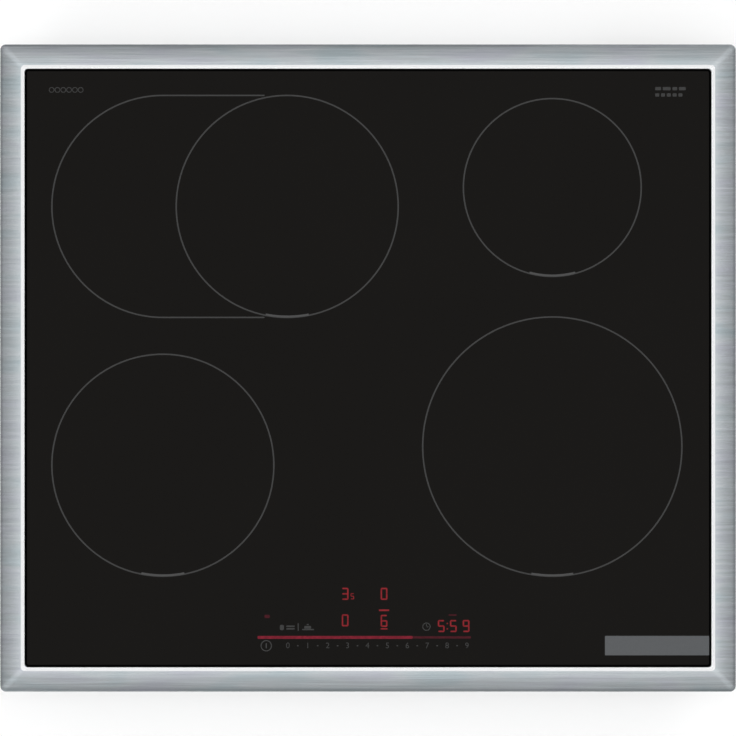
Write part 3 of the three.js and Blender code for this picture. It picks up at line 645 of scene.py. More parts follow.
class Look(Enum):
    """The finishes of this hob, by what they are on."""

    FRAME = BrushedSteel("brushed_frame")
    # FRAME_EDGE paints a highlight on the frame's inner lip with a lighter steel colour
    FRAME_EDGE = PolishedSteel("polished_frame_edge")
    GLASS = CeramicGlass("ceramic_glass")
    GLASS_EDGE = Rubber("ground_glass_edge", 0.0012, 1200, 0.5, 0.02)
    RING_PRINT = Enamel("ring_print", 0.108)
    MARK_PRINT = Enamel("mark_print", 0.154)
    SCALE_PRINT = Enamel("scale_print", 0.096)
    CORNER_BAR = Enamel("corner_bar_print", 0.226, -0.045)
    FIGURE = LitFigure("lit_figure")
    SLIDER = LitFigure("lit_slider", (0.21, 0.012, 0.027, 1))
    SLIDER_DIM = LitFigure("dim_slider", (0.062, 0.007, 0.013, 1))
    SEALANT = Rubber("black_sealant", 0.0006, 300, 0.7, 0.0)
    FOAM = Rubber("foam_seal", 0.012, 900, 0.8)
    TRAY = ZincSheet("zinc_tray")
    DECK = BareMetal("mill_aluminium", grey(0.62), 0.34)
    HEAT_SINK = BareMetal("extruded_aluminium", grey(0.58), 0.3, (2000, 40, 2000))
    SPRING = BareMetal("spring_steel", grey(0.5, 0.02), 0.24, (2000, 2000, 60))
    ZINC_PART = BareMetal("zinc_plated_part", grey(0.58, 0.03), 0.26, (900, 900, 900))
    COPPER = LitzWire("copper_litz")
    COPPER_BAR = BareMetal("enamelled_copper", (0.62, 0.25, 0.115, 1), 0.26, (500, 500, 500))
    BLACK_PLASTIC = MouldedPlastic("black_plastic", grey(0.012), 0.5)
    CARRIER = MouldedPlastic("carrier_plastic", grey(0.028), 0.58)
    WHITE_PLASTIC = MouldedPlastic("white_plastic", grey(0.68, 0.02), 0.42)
    CAPACITOR = MouldedPlastic("capacitor_case", grey(0.25, -0.04), 0.38)
    SILICONE = MouldedPlastic("silicone", grey(0.62, 0.03), 0.5, 500)
    MICA = Mica("mica_paper")
    BOARD = CircuitBoard("circuit_board")
    FERRITE = Ferrite("ferrite")
    FLOOR = StudioFloor("studio_floor")

    @property
    def material(self) -> bpy.types.Material:
        """The Blender material of this finish."""
        return material_of(self.value)


# ---------------------------------------------------------------- modelling by hand tools


def clear_selection() -> None:
    """Leaves nothing selected and object mode on."""
    if bpy.context.object and bpy.context.object.mode != "OBJECT":
        bpy.ops.object.mode_set(mode="OBJECT")
    bpy.ops.object.select_all(action="DESELECT")


class Part(Enum):
    """What is selected in edit mode."""

    VERT = "verts"
    EDGE = "edges"
    FACE = "faces"


Test = Callable[[Vector], bool]


@dataclass
class Workpiece:
    """A mesh being shaped, and the object that holds it."""

    obj: bpy.types.Object

    @classmethod
    def added(cls, name: str) -> "Workpiece":
        """The primitive that was just added, under a name of its own.

        Args:
            name: The piece's name.

        Returns:
            The piece.
        """
        obj = bpy.context.object
        obj.name = name
        obj.data.name = name
        return cls(obj)

    @classmethod
    def box(cls, name: str, low: Vector | Point, high: Vector | Point) -> "Workpiece":
        """A block between two corners, to be shaped further.

        Args:
            name: The piece's name.
            low: The lowest corner.
            high: The highest corner.

        Returns:
            The block.
        """
        clear_selection()
        low, high = Vector(low), Vector(high)
        bpy.ops.mesh.primitive_cube_add(size=1, location=(low + high) / 2)
        bpy.context.object.scale = high - low
        return cls.added(name).settled()

    @classmethod
    def flat_ring(cls, name: str, radius: float, line: float, centre: Point, sides: int) -> "Workpiece":
        """A thin flat ring.

        Args:
            name: The piece's name.
            radius: The radius of the line's middle.
            line: The line's width.
            centre: The ring's middle.
            sides: Its number of sides.

        Returns:
            The flat ring, not yet thickened.
        """
        outer, inner = radius + line / 2, radius - line / 2
        clear_selection()
        bpy.ops.mesh.primitive_circle_add(vertices=sides, radius=outer, location=centre)
        ring = cls.added(name).settled()
        with ring.editing(Part.EDGE):
            bpy.ops.mesh.select_all(action="SELECT")
            bpy.ops.mesh.extrude_edges_move()
            bpy.ops.transform.resize(value=(inner / outer, inner / outer, 1), center_override=centre)
        return ring

    @classmethod
    def post(cls, name: str, radius: float, foot: Point, height: float, sides: int = 32) -> "Workpiece":
        """An upright round bar on its foot.

        Args:
            name: The piece's name.
            radius: Its radius.
            foot: The middle of its lower face.
            height: Its height.
            sides: Its number of sides.

        Returns:
            The bar.
        """
        clear_selection()
        middle = (foot[0], foot[1], foot[2] + height / 2)
        bpy.ops.mesh.primitive_cylinder_add(vertices=sides, radius=radius, depth=height, location=middle)
        return cls.added(name).settled()

    @classmethod
    def rounded_plate(
        cls, name: str, size: tuple[float, float], radius: float, z: float, steps: int = 8
    ) -> "Workpiece":
        """A flat rectangle with round corners, centred on the hob's middle.

        Args:
            name: The piece's name.
            size: Its width and depth.
            radius: Its corners' radius.
            z: Its height.
            steps: Facets in each corner.

        Returns:
            The plate.
        """
        clear_selection()
        bpy.ops.mesh.primitive_plane_add(size=1, location=(0, 0, z))
        bpy.context.object.scale = (size[0], size[1], 1)
        piece = cls.added(name).settled()
        with piece.editing(Part.VERT):
            bpy.ops.mesh.select_all(action="SELECT")
            bpy.ops.mesh.bevel(offset=radius, segments=steps, affect="VERTICES", profile=0.5)
        return piece

    @classmethod
    def spun(cls, name: str, profile: Sequence[tuple[float, float]], steps: int = 40) -> "Workpiece":
        """A turned part: half its section, spun about Z.

        Args:
            name: The piece's name.
            profile: Radius and height of each point, from the axis back to it or closed on itself.
            steps: Facets around it.

        Returns:
            The part.
        """
        clear_selection()
        bpy.ops.mesh.primitive_plane_add(size=MM)
        piece = cls.added(name)
        with piece.editing(Part.VERT):
            bpy.ops.mesh.select_all(action="SELECT")
            bpy.ops.mesh.merge(type="CENTER")
            reached = (0.0, 0.0)
            for number, (radius, height) in enumerate(profile):
                step = (radius - reached[0], 0, height - reached[1])
                if number == 0:
                    bpy.ops.transform.translate(value=step)
                else:
                    bpy.ops.mesh.extrude_region_move(TRANSFORM_OT_translate={"value": step})
                reached = (radius, height)
            bpy.ops.mesh.select_all(action="SELECT")
            bpy.ops.mesh.spin(steps=steps, angle=2 * math.pi, center=(0, 0, 0), axis=(0, 0, 1))
            bpy.ops.mesh.select_all(action="SELECT")
            bpy.ops.mesh.remove_doubles(threshold=0.005 * MM)
            bpy.ops.mesh.normals_make_consistent(inside=False)
        return piece

    @classmethod
    def copy_of_node(cls, name: str, node: str) -> "Workpiece":
        """A merged copy of a frame node's mesh, free to be shaped.

        Args:
            name: The piece's name.
            node: The node to copy.

        Returns:
            The copy.
        """
        clear_selection()
        source = frame["nodes"][node]
        obj = bpy.data.objects.new(name, source.data.copy())
        bpy.context.scene.collection.objects.link(obj)
        bpy.context.view_layer.objects.active = obj
        obj.select_set(True)
        piece = cls.added(name)
        with piece.editing(Part.VERT):
            bpy.ops.mesh.select_all(action="SELECT")
            bpy.ops.mesh.remove_doubles(threshold=0.002 * MM)
            bpy.ops.mesh.dissolve_limited(angle_limit=math.radians(0.5))
        return piece

    @staticmethod
    def merged(name: str, pieces: Sequence["Workpiece"]) -> "Workpiece":
        """Joins pieces into the first of them, under a name of its own.

        Args:
            name: The merged piece's name.
            pieces: The pieces, of which only the first goes on.

        Returns:
            The merged piece.
        """
        group = pieces[0].joined(pieces[1:])
        group.obj.name = name
        return group

    def focus(self) -> None:
        """Makes this the only selected object."""
        clear_selection()
        self.obj.select_set(True)
        bpy.context.view_layer.objects.active = self.obj

    def settled(self) -> "Workpiece":
        """Moves the object's place, turn and scale into its mesh.

        Returns:
            The piece.
        """
        self.focus()
        bpy.ops.object.transform_apply(location=True, rotation=True, scale=True)
        return self

    @contextmanager
    def editing(self, part: Part = Part.FACE) -> Iterator[None]:
        """Edit mode on this piece alone.

        Args:
            part: What is to be selected.
        """
        self.focus()
        bpy.ops.object.mode_set(mode="EDIT")
        bpy.ops.mesh.select_mode(type=part.name)
        yield
        bpy.ops.object.mode_set(mode="OBJECT")

    @contextmanager
    def selecting(self) -> Iterator[bmesh.types.BMesh]:
        """The edit-mode mesh with nothing selected, written back afterwards."""
        mesh = bmesh.from_edit_mesh(self.obj.data)
        for sequence in (mesh.verts, mesh.edges, mesh.faces):
            for item in sequence:
                item.select = False
        yield mesh
        bmesh.update_edit_mesh(self.obj.data)

    def pick(self, part: Part, where: Test | None = None, facing: Test | None = None) -> None:
        """Selects edges or faces by their place or their normal, in edit mode.

        Args:
            part: Edges or faces.
            where: True for a wanted middle.
            facing: True for a wanted face normal.
        """
        with self.selecting() as mesh:
            for item in getattr(mesh, part.value):
                if (where is None or where(self._middle(item))) and (facing is None or facing(item.normal)):
                    item.select_set(True)

    @staticmethod
    def _middle(item: bmesh.types.BMEdge | bmesh.types.BMFace) -> Vector:
        """The middle of an edge or a face."""
        return sum((v.co for v in item.verts), Vector()) / len(item.verts)

    def extruded(self, offset: Point) -> "Workpiece":
        """Pulls the whole flat piece into a closed slab.

        Args:
            offset: The slab's thickness as a vector.

        Returns:
            The piece.
        """
        with self.editing(Part.FACE):
            bpy.ops.mesh.select_all(action="SELECT")
            bpy.ops.mesh.extrude_region_move(TRANSFORM_OT_translate={"value": offset})
            bpy.ops.mesh.select_all(action="SELECT")
            bpy.ops.mesh.normals_make_consistent(inside=False)
        return self

    def softened(self, width: float, angle: float = 40, clamped: bool = True) -> "Workpiece":
        """Bevels the sharp edges and smooths what is left.

        Args:
            width: The bevel's width.
            angle: Edges sharper than this many degrees are bevelled.
            clamped: Whether the shortest edge limits the bevel everywhere.

        Returns:
            The piece.
        """
        self.smoothed(35)
        bevel = self.obj.modifiers.new("bevel", "BEVEL")
        bevel.width = width
        bevel.segments = 2
        bevel.limit_method = "ANGLE"
        bevel.angle_limit = math.radians(angle)
        bevel.use_clamp_overlap = clamped
        bevel.harden_normals = True
        bpy.ops.object.modifier_apply(modifier=bevel.name)
        return self

    def smoothed(self, angle: float = 30) -> "Workpiece":
        """Smooth shading over edges flatter than an angle.

        Args:
            angle: The angle, in degrees.

        Returns:
            The piece.
        """
        self.focus()
        bpy.ops.object.shade_smooth_by_angle(angle=math.radians(angle))
        return self

    def moved(self, offset: Point) -> "Workpiece":
        """Moves the mesh and leaves the object at the origin.

        Args:
            offset: The move.

        Returns:
            The piece.
        """
        self.focus()
        self.obj.location = offset
        return self.settled()

    def turned(self, degrees: float, axis: str = "Z") -> "Workpiece":
        """Turns the mesh about one of the axes through the origin."""
        self.obj.rotation_euler["XYZ".index(axis)] = math.radians(degrees)
        return self.settled()

    def copied(self, name: str, offset: Point = (0, 0, 0)) -> "Workpiece":
        """A copy with its own mesh.

        Args:
            name: The copy's name.
            offset: Its move from here.

        Returns:
            The copy.
        """
        obj = self.obj.copy()
        obj.data = self.obj.data.copy()
        obj.name = name
        bpy.context.scene.collection.objects.link(obj)
        return Workpiece(obj).moved(offset)

    def joined(self, others: Sequence["Workpiece"]) -> "Workpiece":
        """Takes other pieces into this one.

        Args:
            others: Pieces that stop existing on their own.

        Returns:
            This piece.
        """
        if others:
            self.focus()
            for other in others:
                other.obj.select_set(True)
            bpy.ops.object.join()
        return self

    def without(self, tool: "Workpiece") -> "Workpiece":
        """Cuts a tool piece away and removes it.

        Args:
            tool: The closed shape to cut with.

        Returns:
            This piece.
        """
        self.focus()
        boolean = self.obj.modifiers.new("cut", "BOOLEAN")
        boolean.operation = "DIFFERENCE"
        boolean.solver = "EXACT"
        boolean.object = tool.obj
        bpy.ops.object.modifier_apply(modifier=boolean.name)
        bpy.data.objects.remove(tool.obj)
        return self

    def dressed(self, look: Look) -> "Workpiece":
        """Gives the whole piece one finish.

        Args:
            look: The finish.

        Returns:
            The piece.
        """
        self.obj.data.materials.clear()
        self.obj.data.materials.append(look.material)
        return self

    def fitted(self, look: Look, slot: str, *nodes: str, body: str = ROOT) -> bpy.types.Object:
        """Finishes a piece and hangs it on its body.

        Args:
            look: Its finish.
            slot: The record's material slot.
            nodes: The frame nodes that it stands for.
            body: The body it rides on.

        Returns:
            The finished object.
        """
        self.dressed(look)
        return self.hung(slot, *nodes, body=body)

    def hung(self, slot: str, *nodes: str, body: str = ROOT) -> bpy.types.Object:
        """Hangs a dressed piece on its body.

        Args:
            slot: The record's material slot.
            nodes: The frame nodes that it stands for.
            body: The body it rides on.

        Returns:
            The finished object.
        """
        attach(self.obj, body)
        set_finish(self.obj, slot)
        if nodes:
            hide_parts(*nodes)
        LOG.info("piece %s on %s", self.obj.name, body)
        return self.obj


def middle_of(node: str) -> Vector:
    """The middle of a node's box."""
    low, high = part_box(node)
    return (low + high) / 2


def dress_node(node: str, look: Look) -> None:
    """Gives a frame node its finish.

    Args:
        node: The node's name.
        look: Its finish.
    """
    data = frame["nodes"][node].data
    data.materials.clear()
    data.materials.append(look.material)
    LOG.info("node %s in %s", node, look.name)


# ---------------------------------------------------------------- steel frame


@dataclass
class SteelFrame:
    """The brushed frame: one formed sheet with a convex slope and a polished inner edge that carries a
    painted highlight.
    """

    border: float = 19.5 * MM
    sheet: float = 1.0 * MM
    ledge_reach: float = 10 * MM
    outer_radius: float = 4.5 * MM
    inner_radius: float = 3.0 * MM
    edge_fillet: float = 0.4 * MM
    end_slope: float = 0.085
    # Width of the band on the lip that gets the lighter steel, a painted highlight.
    lip_width: float = 2.6 * MM
    lip_round: float = 0.3 * MM
    slope_steps: int = 14
    hem_height: float = 2.0 * MM

    def section(self) -> list[tuple[float, float, float]]:
        """The sheet's section as rings.

        Returns:
            For each ring its inset, its corner radius and its height, round the section.
        """
        low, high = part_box("trim_frame")
        crest, ledge_bottom = high.z, low.z
        ledge_top = ledge_bottom + self.sheet
        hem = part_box("worktop_seal")[0].z + 0.2 * MM
        rim = hem + self.hem_height
        run = self.border - self.lip_round
        rise = crest - rim
        start_slope = 2 * rise / run - self.end_slope

        def radius(inset: float) -> float:
            """Corner radius at an inset, between the outer and the inner one."""
            share = min(1.0, inset / self.border)
            return self.outer_radius + (self.inner_radius - self.outer_radius) * share

        def slope(inset: float) -> float:
            """Height of the slope, which flattens evenly towards its crest."""
            return rim + start_slope * inset - (start_slope - self.end_slope) * inset**2 / (2 * run)

        fillet = self.edge_fillet
        rings = [(0, hem), (0, rim - fillet), (0.25 * fillet, rim - 0.35 * fillet)]
        insets = [run * (i + 1) / self.slope_steps for i in range(self.slope_steps)]
        insets.insert(-1, run - 0.5 * self.lip_round)
        rings += [(inset, slope(inset)) for inset in insets]
        for degrees in (30, 60, 90):
            turn = math.radians(degrees)
            drop = self.lip_round * (1 - math.cos(turn))
            rings.append((run + self.lip_round * math.sin(turn), crest - drop))
        rings += [(self.border, ledge_top)]
        rings += [(self.border + self.ledge_reach, ledge_top), (self.border + self.ledge_reach, ledge_bottom)]
        inside = self.border - self.sheet
        rings += [(inside, ledge_bottom), (inside, slope(inside) - self.sheet)]
        rings += [(inside * share, slope(inside * share) - self.sheet) for share in (0.75, 0.5, 0.3, 0.15)]
        rings += [(self.sheet, rim - self.sheet), (self.sheet, hem)]
        return [(inset, radius(inset), z) for inset, z in rings]

    def build(self) -> None:
        """Bridges the rings into one closed sheet and dresses it."""
        low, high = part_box("trim_frame")
        width, depth = high.x - low.x, high.y - low.y
        rings = self.section()
        loops = []
        for number, (inset, radius, z) in enumerate(rings):
            size = (width - 2 * inset, depth - 2 * inset)
            loop = Workpiece.rounded_plate(f"ring_{number}", size, radius, z)
            with loop.editing(Part.FACE):
                bpy.ops.mesh.select_all(action="SELECT")
                bpy.ops.mesh.delete(type="ONLY_FACE")
            mark = loop.obj.data.attributes.new("ring", "INT", "POINT")
            mark.data.foreach_set("value", [number] * len(loop.obj.data.vertices))
            loops.append(loop)
        sheet = Workpiece.merged("steel_frame", loops)
        with sheet.editing(Part.EDGE):
            for number in range(len(rings)):
                self._bridge(sheet, number, (number + 1) % len(rings))
            bpy.ops.mesh.select_all(action="SELECT")
            bpy.ops.mesh.normals_make_consistent(inside=False)
        sheet.smoothed(28)
        sheet.dressed(Look.FRAME)
        self._polish_edge(sheet, width, depth, high.z)
        sheet.hung("trim_steel", "trim_frame")

    @staticmethod
    def _bridge(sheet: Workpiece, first: int, second: int) -> None:
        """Spans two rings with faces.

        Args:
            sheet: The joined rings, in edit mode.
            first: The one ring's number.
            second: The other ring's number.
        """
        with sheet.selecting() as mesh:
            ring = mesh.verts.layers.int["ring"]
            for edge in mesh.edges:
                numbers = {v[ring] for v in edge.verts}
                if numbers in ({first}, {second}):
                    edge.select_set(True)
        bpy.ops.mesh.bridge_edge_loops()

    def _polish_edge(self, sheet: Workpiece, width: float, depth: float, crest: float) -> None:
        """Gives the top of the raised inner lip its polish and a lighter steel colour, a painted highlight.

        Args:
            sheet: The finished sheet.
            width: The frame's width.
            depth: The frame's depth.
            crest: The lip's top level.
        """
        sheet.obj.data.materials.append(Look.FRAME_EDGE.material)
        start = self.border - self.lip_width
        for face in sheet.obj.data.polygons:
            x, y, z = face.center
            inset = min(width / 2 - abs(x), depth / 2 - abs(y))
            # Only faces near the crest, the top of the lip, get the lighter steel: a painted highlight.
            if start < inset < self.border + 0.1 * MM and z > crest - 0.6 * MM:
                face.material_index = 1


# ---------------------------------------------------------------- glass panel


@dataclass
class GlassPanel:
    """The glass-ceramic panel with its ground, blackened edge."""

    corner: float = 2.0 * MM
    ground: float = 0.7 * MM

    def build(self) -> None:
        """Raises the slab, bevels its upper edge and blackens the bevel."""
        low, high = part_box("glass_panel")
        size = (high.x - low.x, high.y - low.y)
        panel = Workpiece.rounded_plate("hob_glass", size, self.corner, low.z)
        panel.extruded((0, 0, high.z - low.z))
        with panel.editing(Part.EDGE):
            panel.pick(Part.EDGE, lambda p: p.z > high.z - 0.1 * MM)
            bpy.ops.mesh.bevel(offset=self.ground, segments=3, affect="EDGES")
        panel.dressed(Look.GLASS)
        panel.obj.data.materials.append(Look.GLASS_EDGE.material)
        for face in panel.obj.data.polygons:
            if face.normal.z < 0.98 and face.center.z > low.z:
                face.material_index = 1
        panel.smoothed(12).hung("ceramic_glass", "glass_panel")


# ---------------------------------------------------------------- screws


@dataclass
class Fastener:
    """Pan-head screws, each modelled once at the origin and copied."""

    head: float = 3.6 * MM
    height: float = 2.0 * MM
    recess: float = 0.9 * MM
    thread_pitch: float = 0.7 * MM

    def screw(self, name: str, shank: float = 0, shank_radius: float = 1.9 * MM) -> Workpiece:
        """An upright pan-head screw with a cross recess, its head standing on Z = 0.

        Args:
            name: The piece's name.
            shank: The length of its threaded shank below the head.
            shank_radius: The radius of the thread's crest.

        Returns:
            The screw.
        """
        profile = [(0.0, -shank)]
        if shank:
            root = shank_radius - 0.3 * MM
            for turn in range(int(shank / self.thread_pitch)):
                foot = -shank + turn * self.thread_pitch
                profile += [(root, foot), (shank_radius, foot + 0.5 * self.thread_pitch)]
            profile.append((root, 0.0))
        crown = [(1.0, 0.0), (1.0, 0.4), (0.93, 0.72), (0.76, 0.93), (0.5, 1.0), (0.0, 1.0)]
        profile += [(share * self.head, rise * self.height) for share, rise in crown]
        body = Workpiece.spun(name, profile, 28)
        reach, blade = 0.62 * self.head, 0.17 * self.head
        for number, (x, y) in enumerate(((reach, blade), (blade, reach))):
            low, high = (-x, -y, self.height - self.recess), (x, y, self.height + MM)
            body.without(Workpiece.box(f"{name}_blade_{number}", low, high))
        return body.smoothed(35)

    def scattered(self, name: str, model: Workpiece, places: Sequence[Point]) -> Workpiece:
        """Copies of a fastener at several places, joined into one piece.

        Args:
            name: The piece's name.
            model: The fastener at the origin, which is used up.
            places: Where the copies stand.

        Returns:
            The joined copies.
        """
        copies = [model.copied(f"{name}_{number}", place) for number, place in enumerate(places)]
        bpy.data.objects.remove(model.obj)
        return Workpiece.merged(name, copies)


# ---------------------------------------------------------------- bottom tray


@dataclass
class TrayDetails:
    """What is pressed, welded and screwed onto the bottom tray."""

    weld_pitch: float = 62 * MM
    weld_margin: float = 20 * MM
    weld_level: float = 45.2 * MM
    weld_radius: float = 2.6 * MM
    floor_level: float = 1.2 * MM
    blower_screws: float = 52.8 * MM
    cradle_inset: float = 8 * MM
    bracket_inset: float = 4 * MM
    earth_place: float = 140 * MM
    earth_level: float = 26 * MM
    earth_thread: float = 2.0 * MM
    earth_pitch: float = 0.7 * MM
    earth_turns: int = 10
    side_screw_head: float = 2.0 * MM
    side_screw_shank: float = 5.0 * MM

    def shell(self) -> None:
        """The tray itself, its bends and slot edges rounded."""
        Workpiece.copy_of_node("tray_shell", "bottom_tray").softened(0.35 * MM).fitted(
            Look.TRAY, "zinc_sheet", "bottom_tray"
        )

    def welds(self) -> None:
        """Shallow spot-weld rings along the tray's upper edge, on all four walls."""
        low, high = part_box("bottom_tray")
        ring = [(0.0, 0.05), (0.45, 0.05), (0.62, 0.3), (0.85, 0.3), (1.0, 0.0), (0.0, 0.0)]
        profile = [(share * self.weld_radius, rise * MM) for share, rise in ring]
        walls = {
            "front": (high.x, 0, (0, low.y, 0)),
            "rear": (high.x, 180, (0, high.y, 0)),
            "right": (high.y, 90, (high.x, 0, 0)),
            "left": (high.y, -90, (low.x, 0, 0)),
        }
        for name, (half, turn, place) in walls.items():
            mark = Workpiece.spun(f"weld_{name}", profile, 16).smoothed(40).turned(90, axis="X")
            count = int(2 * (half - self.weld_margin) / self.weld_pitch)
            places = [((i - (count - 1) / 2) * self.weld_pitch, 0.0, self.weld_level) for i in range(count)]
            row = Fastener().scattered(f"spot_welds_{name}", mark, places)
            row.turned(turn).moved(place).fitted(Look.TRAY, "zinc_sheet")

    def underside_screws(self) -> None:
        """Screws that hold the blowers, the cradle and the touch bracket, seen from below."""
        places: list[Point] = []
        for side in SIDES:
            centre = middle_of(f"impeller_{side}")
            for angle in (45, 135, 225, 315):
                turn = math.radians(angle)
                x = centre.x + self.blower_screws * math.cos(turn)
                y = centre.y + self.blower_screws * math.sin(turn)
                places.append((x, -y, -self.floor_level))
        for node, inset in (
            ("electronics_cradle", self.cradle_inset),
            ("touch_board_bracket", self.bracket_inset),
        ):
            low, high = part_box(node)
            for x in (low.x + inset, high.x - inset):
                for y in (low.y + inset, high.y - inset):
                    places.append((x, -y, -self.floor_level))
        fastener = Fastener(head=3.2 * MM, height=1.0 * MM, recess=0.6 * MM)
        model = fastener.screw("floor_screw")
        screws = fastener.scattered("floor_screws", model, places)
        screws.turned(180, axis="X")
        screws.fitted(Look.ZINC_PART, "zinc_parts")

    def earth_stud(self) -> None:
        """The earth stud with its washer and nut on the rear wall."""
        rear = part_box("bottom_tray")[1].y
        clear_selection()
        nut_radius, nut_height, washer_radius, washer_height = 3.9 * MM, 2.6 * MM, 5.2 * MM, 1.0 * MM
        middle = (0, 0, washer_height + nut_height / 2)
        bpy.ops.mesh.primitive_cylinder_add(vertices=6, radius=nut_radius, depth=nut_height, location=middle)
        nut = Workpiece.added("earth_nut").settled().softened(0.3 * MM)
        plate = [(0, 0), (washer_radius, 0), (washer_radius, washer_height), (0, washer_height)]
        washer = Workpiece.spun("earth_washer", plate, 32)
        crest, pitch = self.earth_thread, self.earth_pitch
        thread = [(0.0, 0.0)]
        for turn in range(self.earth_turns):
            thread += [(crest - 0.3 * MM, turn * pitch), (crest, (turn + 0.5) * pitch)]
        thread.append((0.0, self.earth_turns * pitch + 0.2 * MM))
        stud = Workpiece.spun("earth_stud", thread, 24).joined([nut, washer.softened(0.2 * MM)])
        stud.turned(-90, axis="X").moved((-self.earth_place, rear, self.earth_level))
        stud.fitted(Look.ZINC_PART, "zinc_parts")

    def deck_screws(self) -> None:
        """The four screws that hold the coil deck, through the side walls."""
        for side, sign in (("left", -1), ("right", 1)):
            for end in ENDS:
                low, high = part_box(f"deck_screw_{side}_{end}")
                wall = high.x - self.side_screw_head if sign > 0 else low.x + self.side_screw_head
                screw = Fastener().screw(f"side_screw_{side}_{end}", self.side_screw_shank)
                screw.turned(sign * 90, axis="Y")
                screw.moved((wall, (low.y + high.y) / 2, (low.z + high.z) / 2))
                screw.fitted(Look.ZINC_PART, "zinc_parts", f"deck_screw_{side}_{end}")

    def clips(self) -> None:
        """The leaf springs in the side walls, each on its own body."""
        for side in SIDES:
            for end in ENDS:
                node = f"fixing_clip_{side}_{end}"
                spring = Workpiece.copy_of_node(f"leaf_spring_{side}_{end}", node).softened(0.2 * MM)
                spring.fitted(Look.SPRING, "zinc_parts", node, body=f"clip_{side}_{end}")

    def build(self) -> None:
        """Makes the tray and all that is on it."""
        self.shell()
        self.welds()
        self.underside_screws()
        self.earth_stud()
        self.deck_screws()
        self.clips()


# ---------------------------------------------------------------- mains terminal


@dataclass
class MainsTerminal:
    """The terminal box, its block with screws and links, and the hinged cover."""

    pole_count: int = 5
    pole_pitch: float = 12 * MM
    wire_hole: float = 2.6 * MM
    wire_level: float = 5.5 * MM
    wire_depth: float = 8 * MM
    screw_seat: float = 8.4 * MM
    screw_row: float = 3 * MM
    link_low: Point = (-3 * MM, -7.6 * MM, 12.1 * MM)
    link_high: Point = (11 * MM, -5 * MM, 12.9 * MM)
    rib_count: int = 5
    rib_pitch: float = 5 * MM
    rib_start: float = 14 * MM
    rib_half: float = 0.8 * MM
    rib_sunk: float = 0.3 * MM
    rib_margins: tuple[float, float] = (4 * MM, 13 * MM)
    cover_thickness: float = 2.4 * MM
    cover_screw_drop: float = 16 * MM

    def box(self) -> None:
        """The moulded box with rounded edges."""
        case = Workpiece.copy_of_node("terminal_case", "terminal_box").softened(0.35 * MM)
        case.fitted(Look.BLACK_PLASTIC, "black_plastic", "terminal_box")

    def poles(self) -> None:
        """The terminal block, a clamp screw for each pole and two copper links."""
        low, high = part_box("terminal_block")
        middle = (low.x + high.x) / 2
        row = [middle + (i - (self.pole_count - 1) / 2) * self.pole_pitch for i in range(self.pole_count)]
        body = Workpiece.copy_of_node("terminal_strip", "terminal_block").softened(0.25 * MM)
        for number, x in enumerate(row):
            hole = Workpiece.post(f"wire_hole_{number}", self.wire_hole, (0, 0, 0), self.wire_depth)
            hole.turned(90, axis="X").moved((x, high.y + 1 * MM, low.z + self.wire_level))
            body.without(hole)
        body.fitted(Look.WHITE_PLASTIC, "white_plastic", "terminal_block")
        seat = low.z + self.screw_seat
        y = (low.y + high.y) / 2 + self.screw_row
        fastener = Fastener(head=2.7 * MM, height=1.6 * MM, recess=0.8 * MM)
        seats = [(x, y, seat) for x in row]
        screws = fastener.scattered("clamp_screws", fastener.screw("clamp_screw"), seats)
        screws.fitted(Look.ZINC_PART, "zinc_parts")
        for number, x in enumerate((row[0], row[2])):
            seat_corner = Vector((x, y, low.z))
            corners = seat_corner + Vector(self.link_low), seat_corner + Vector(self.link_high)
            link = Workpiece.box(f"pole_link_{number}", *corners).softened(0.25 * MM)
            link.fitted(Look.COPPER_BAR, "copper_litz")

    def cover(self) -> None:
        """The hinged cover with its pressed ribs and captive screw."""
        low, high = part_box("terminal_cover")
        lid = Workpiece.copy_of_node("terminal_lid", "terminal_cover")
        lid.softened(0.4 * MM, clamped=False)
        lid.fitted(Look.BLACK_PLASTIC, "black_plastic", "terminal_cover", body="terminal_flap")
        face = low.y + self.cover_thickness
        centre = (low.x + high.x) / 2
        below, above = self.rib_margins
        ribs = []
        for sign in (-1, 1):
            for number in range(self.rib_count):
                x = centre + sign * (self.rib_start + number * self.rib_pitch)
                foot = (x - self.rib_half, face - self.rib_sunk, low.z + below)
                head = (x + self.rib_half, face + self.rib_half, high.z - above)
                ribs.append(Workpiece.box(f"rib_{sign}_{number}", foot, head).softened(0.35 * MM))
        grip = Workpiece.merged("lid_ribs", ribs)
        grip.fitted(Look.BLACK_PLASTIC, "black_plastic", body="terminal_flap")
        screw = Fastener(head=3.4 * MM, height=1.9 * MM).screw("lid_screw").turned(-90, axis="X")
        screw.moved((centre, face, high.z - self.cover_screw_drop))
        screw.fitted(Look.ZINC_PART, "zinc_parts", body="terminal_flap")

    def pin(self) -> None:
        """The hinge pin, turned with rounded ends."""
        low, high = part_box("terminal_hinge_pin")
        length, radius = high.x - low.x, (high.z - low.z) / 2
        blunt = 0.4 * MM
        profile = [(0, 0), (radius - blunt, 0), (radius, blunt), (radius, length - blunt)]
        profile += [(radius - blunt, length), (0, length)]
        pin = Workpiece.spun("hinge_pin", profile, 24).smoothed(40).turned(90, axis="Y")
        pin.moved((low.x, (low.y + high.y) / 2, (low.z + high.z) / 2))
        pin.fitted(Look.ZINC_PART, "zinc_parts", "terminal_hinge_pin")

    def build(self) -> None:
        """Makes the whole inlet."""
        self.box()
        self.poles()
        self.cover()
        self.pin()


# ---------------------------------------------------------------- coils


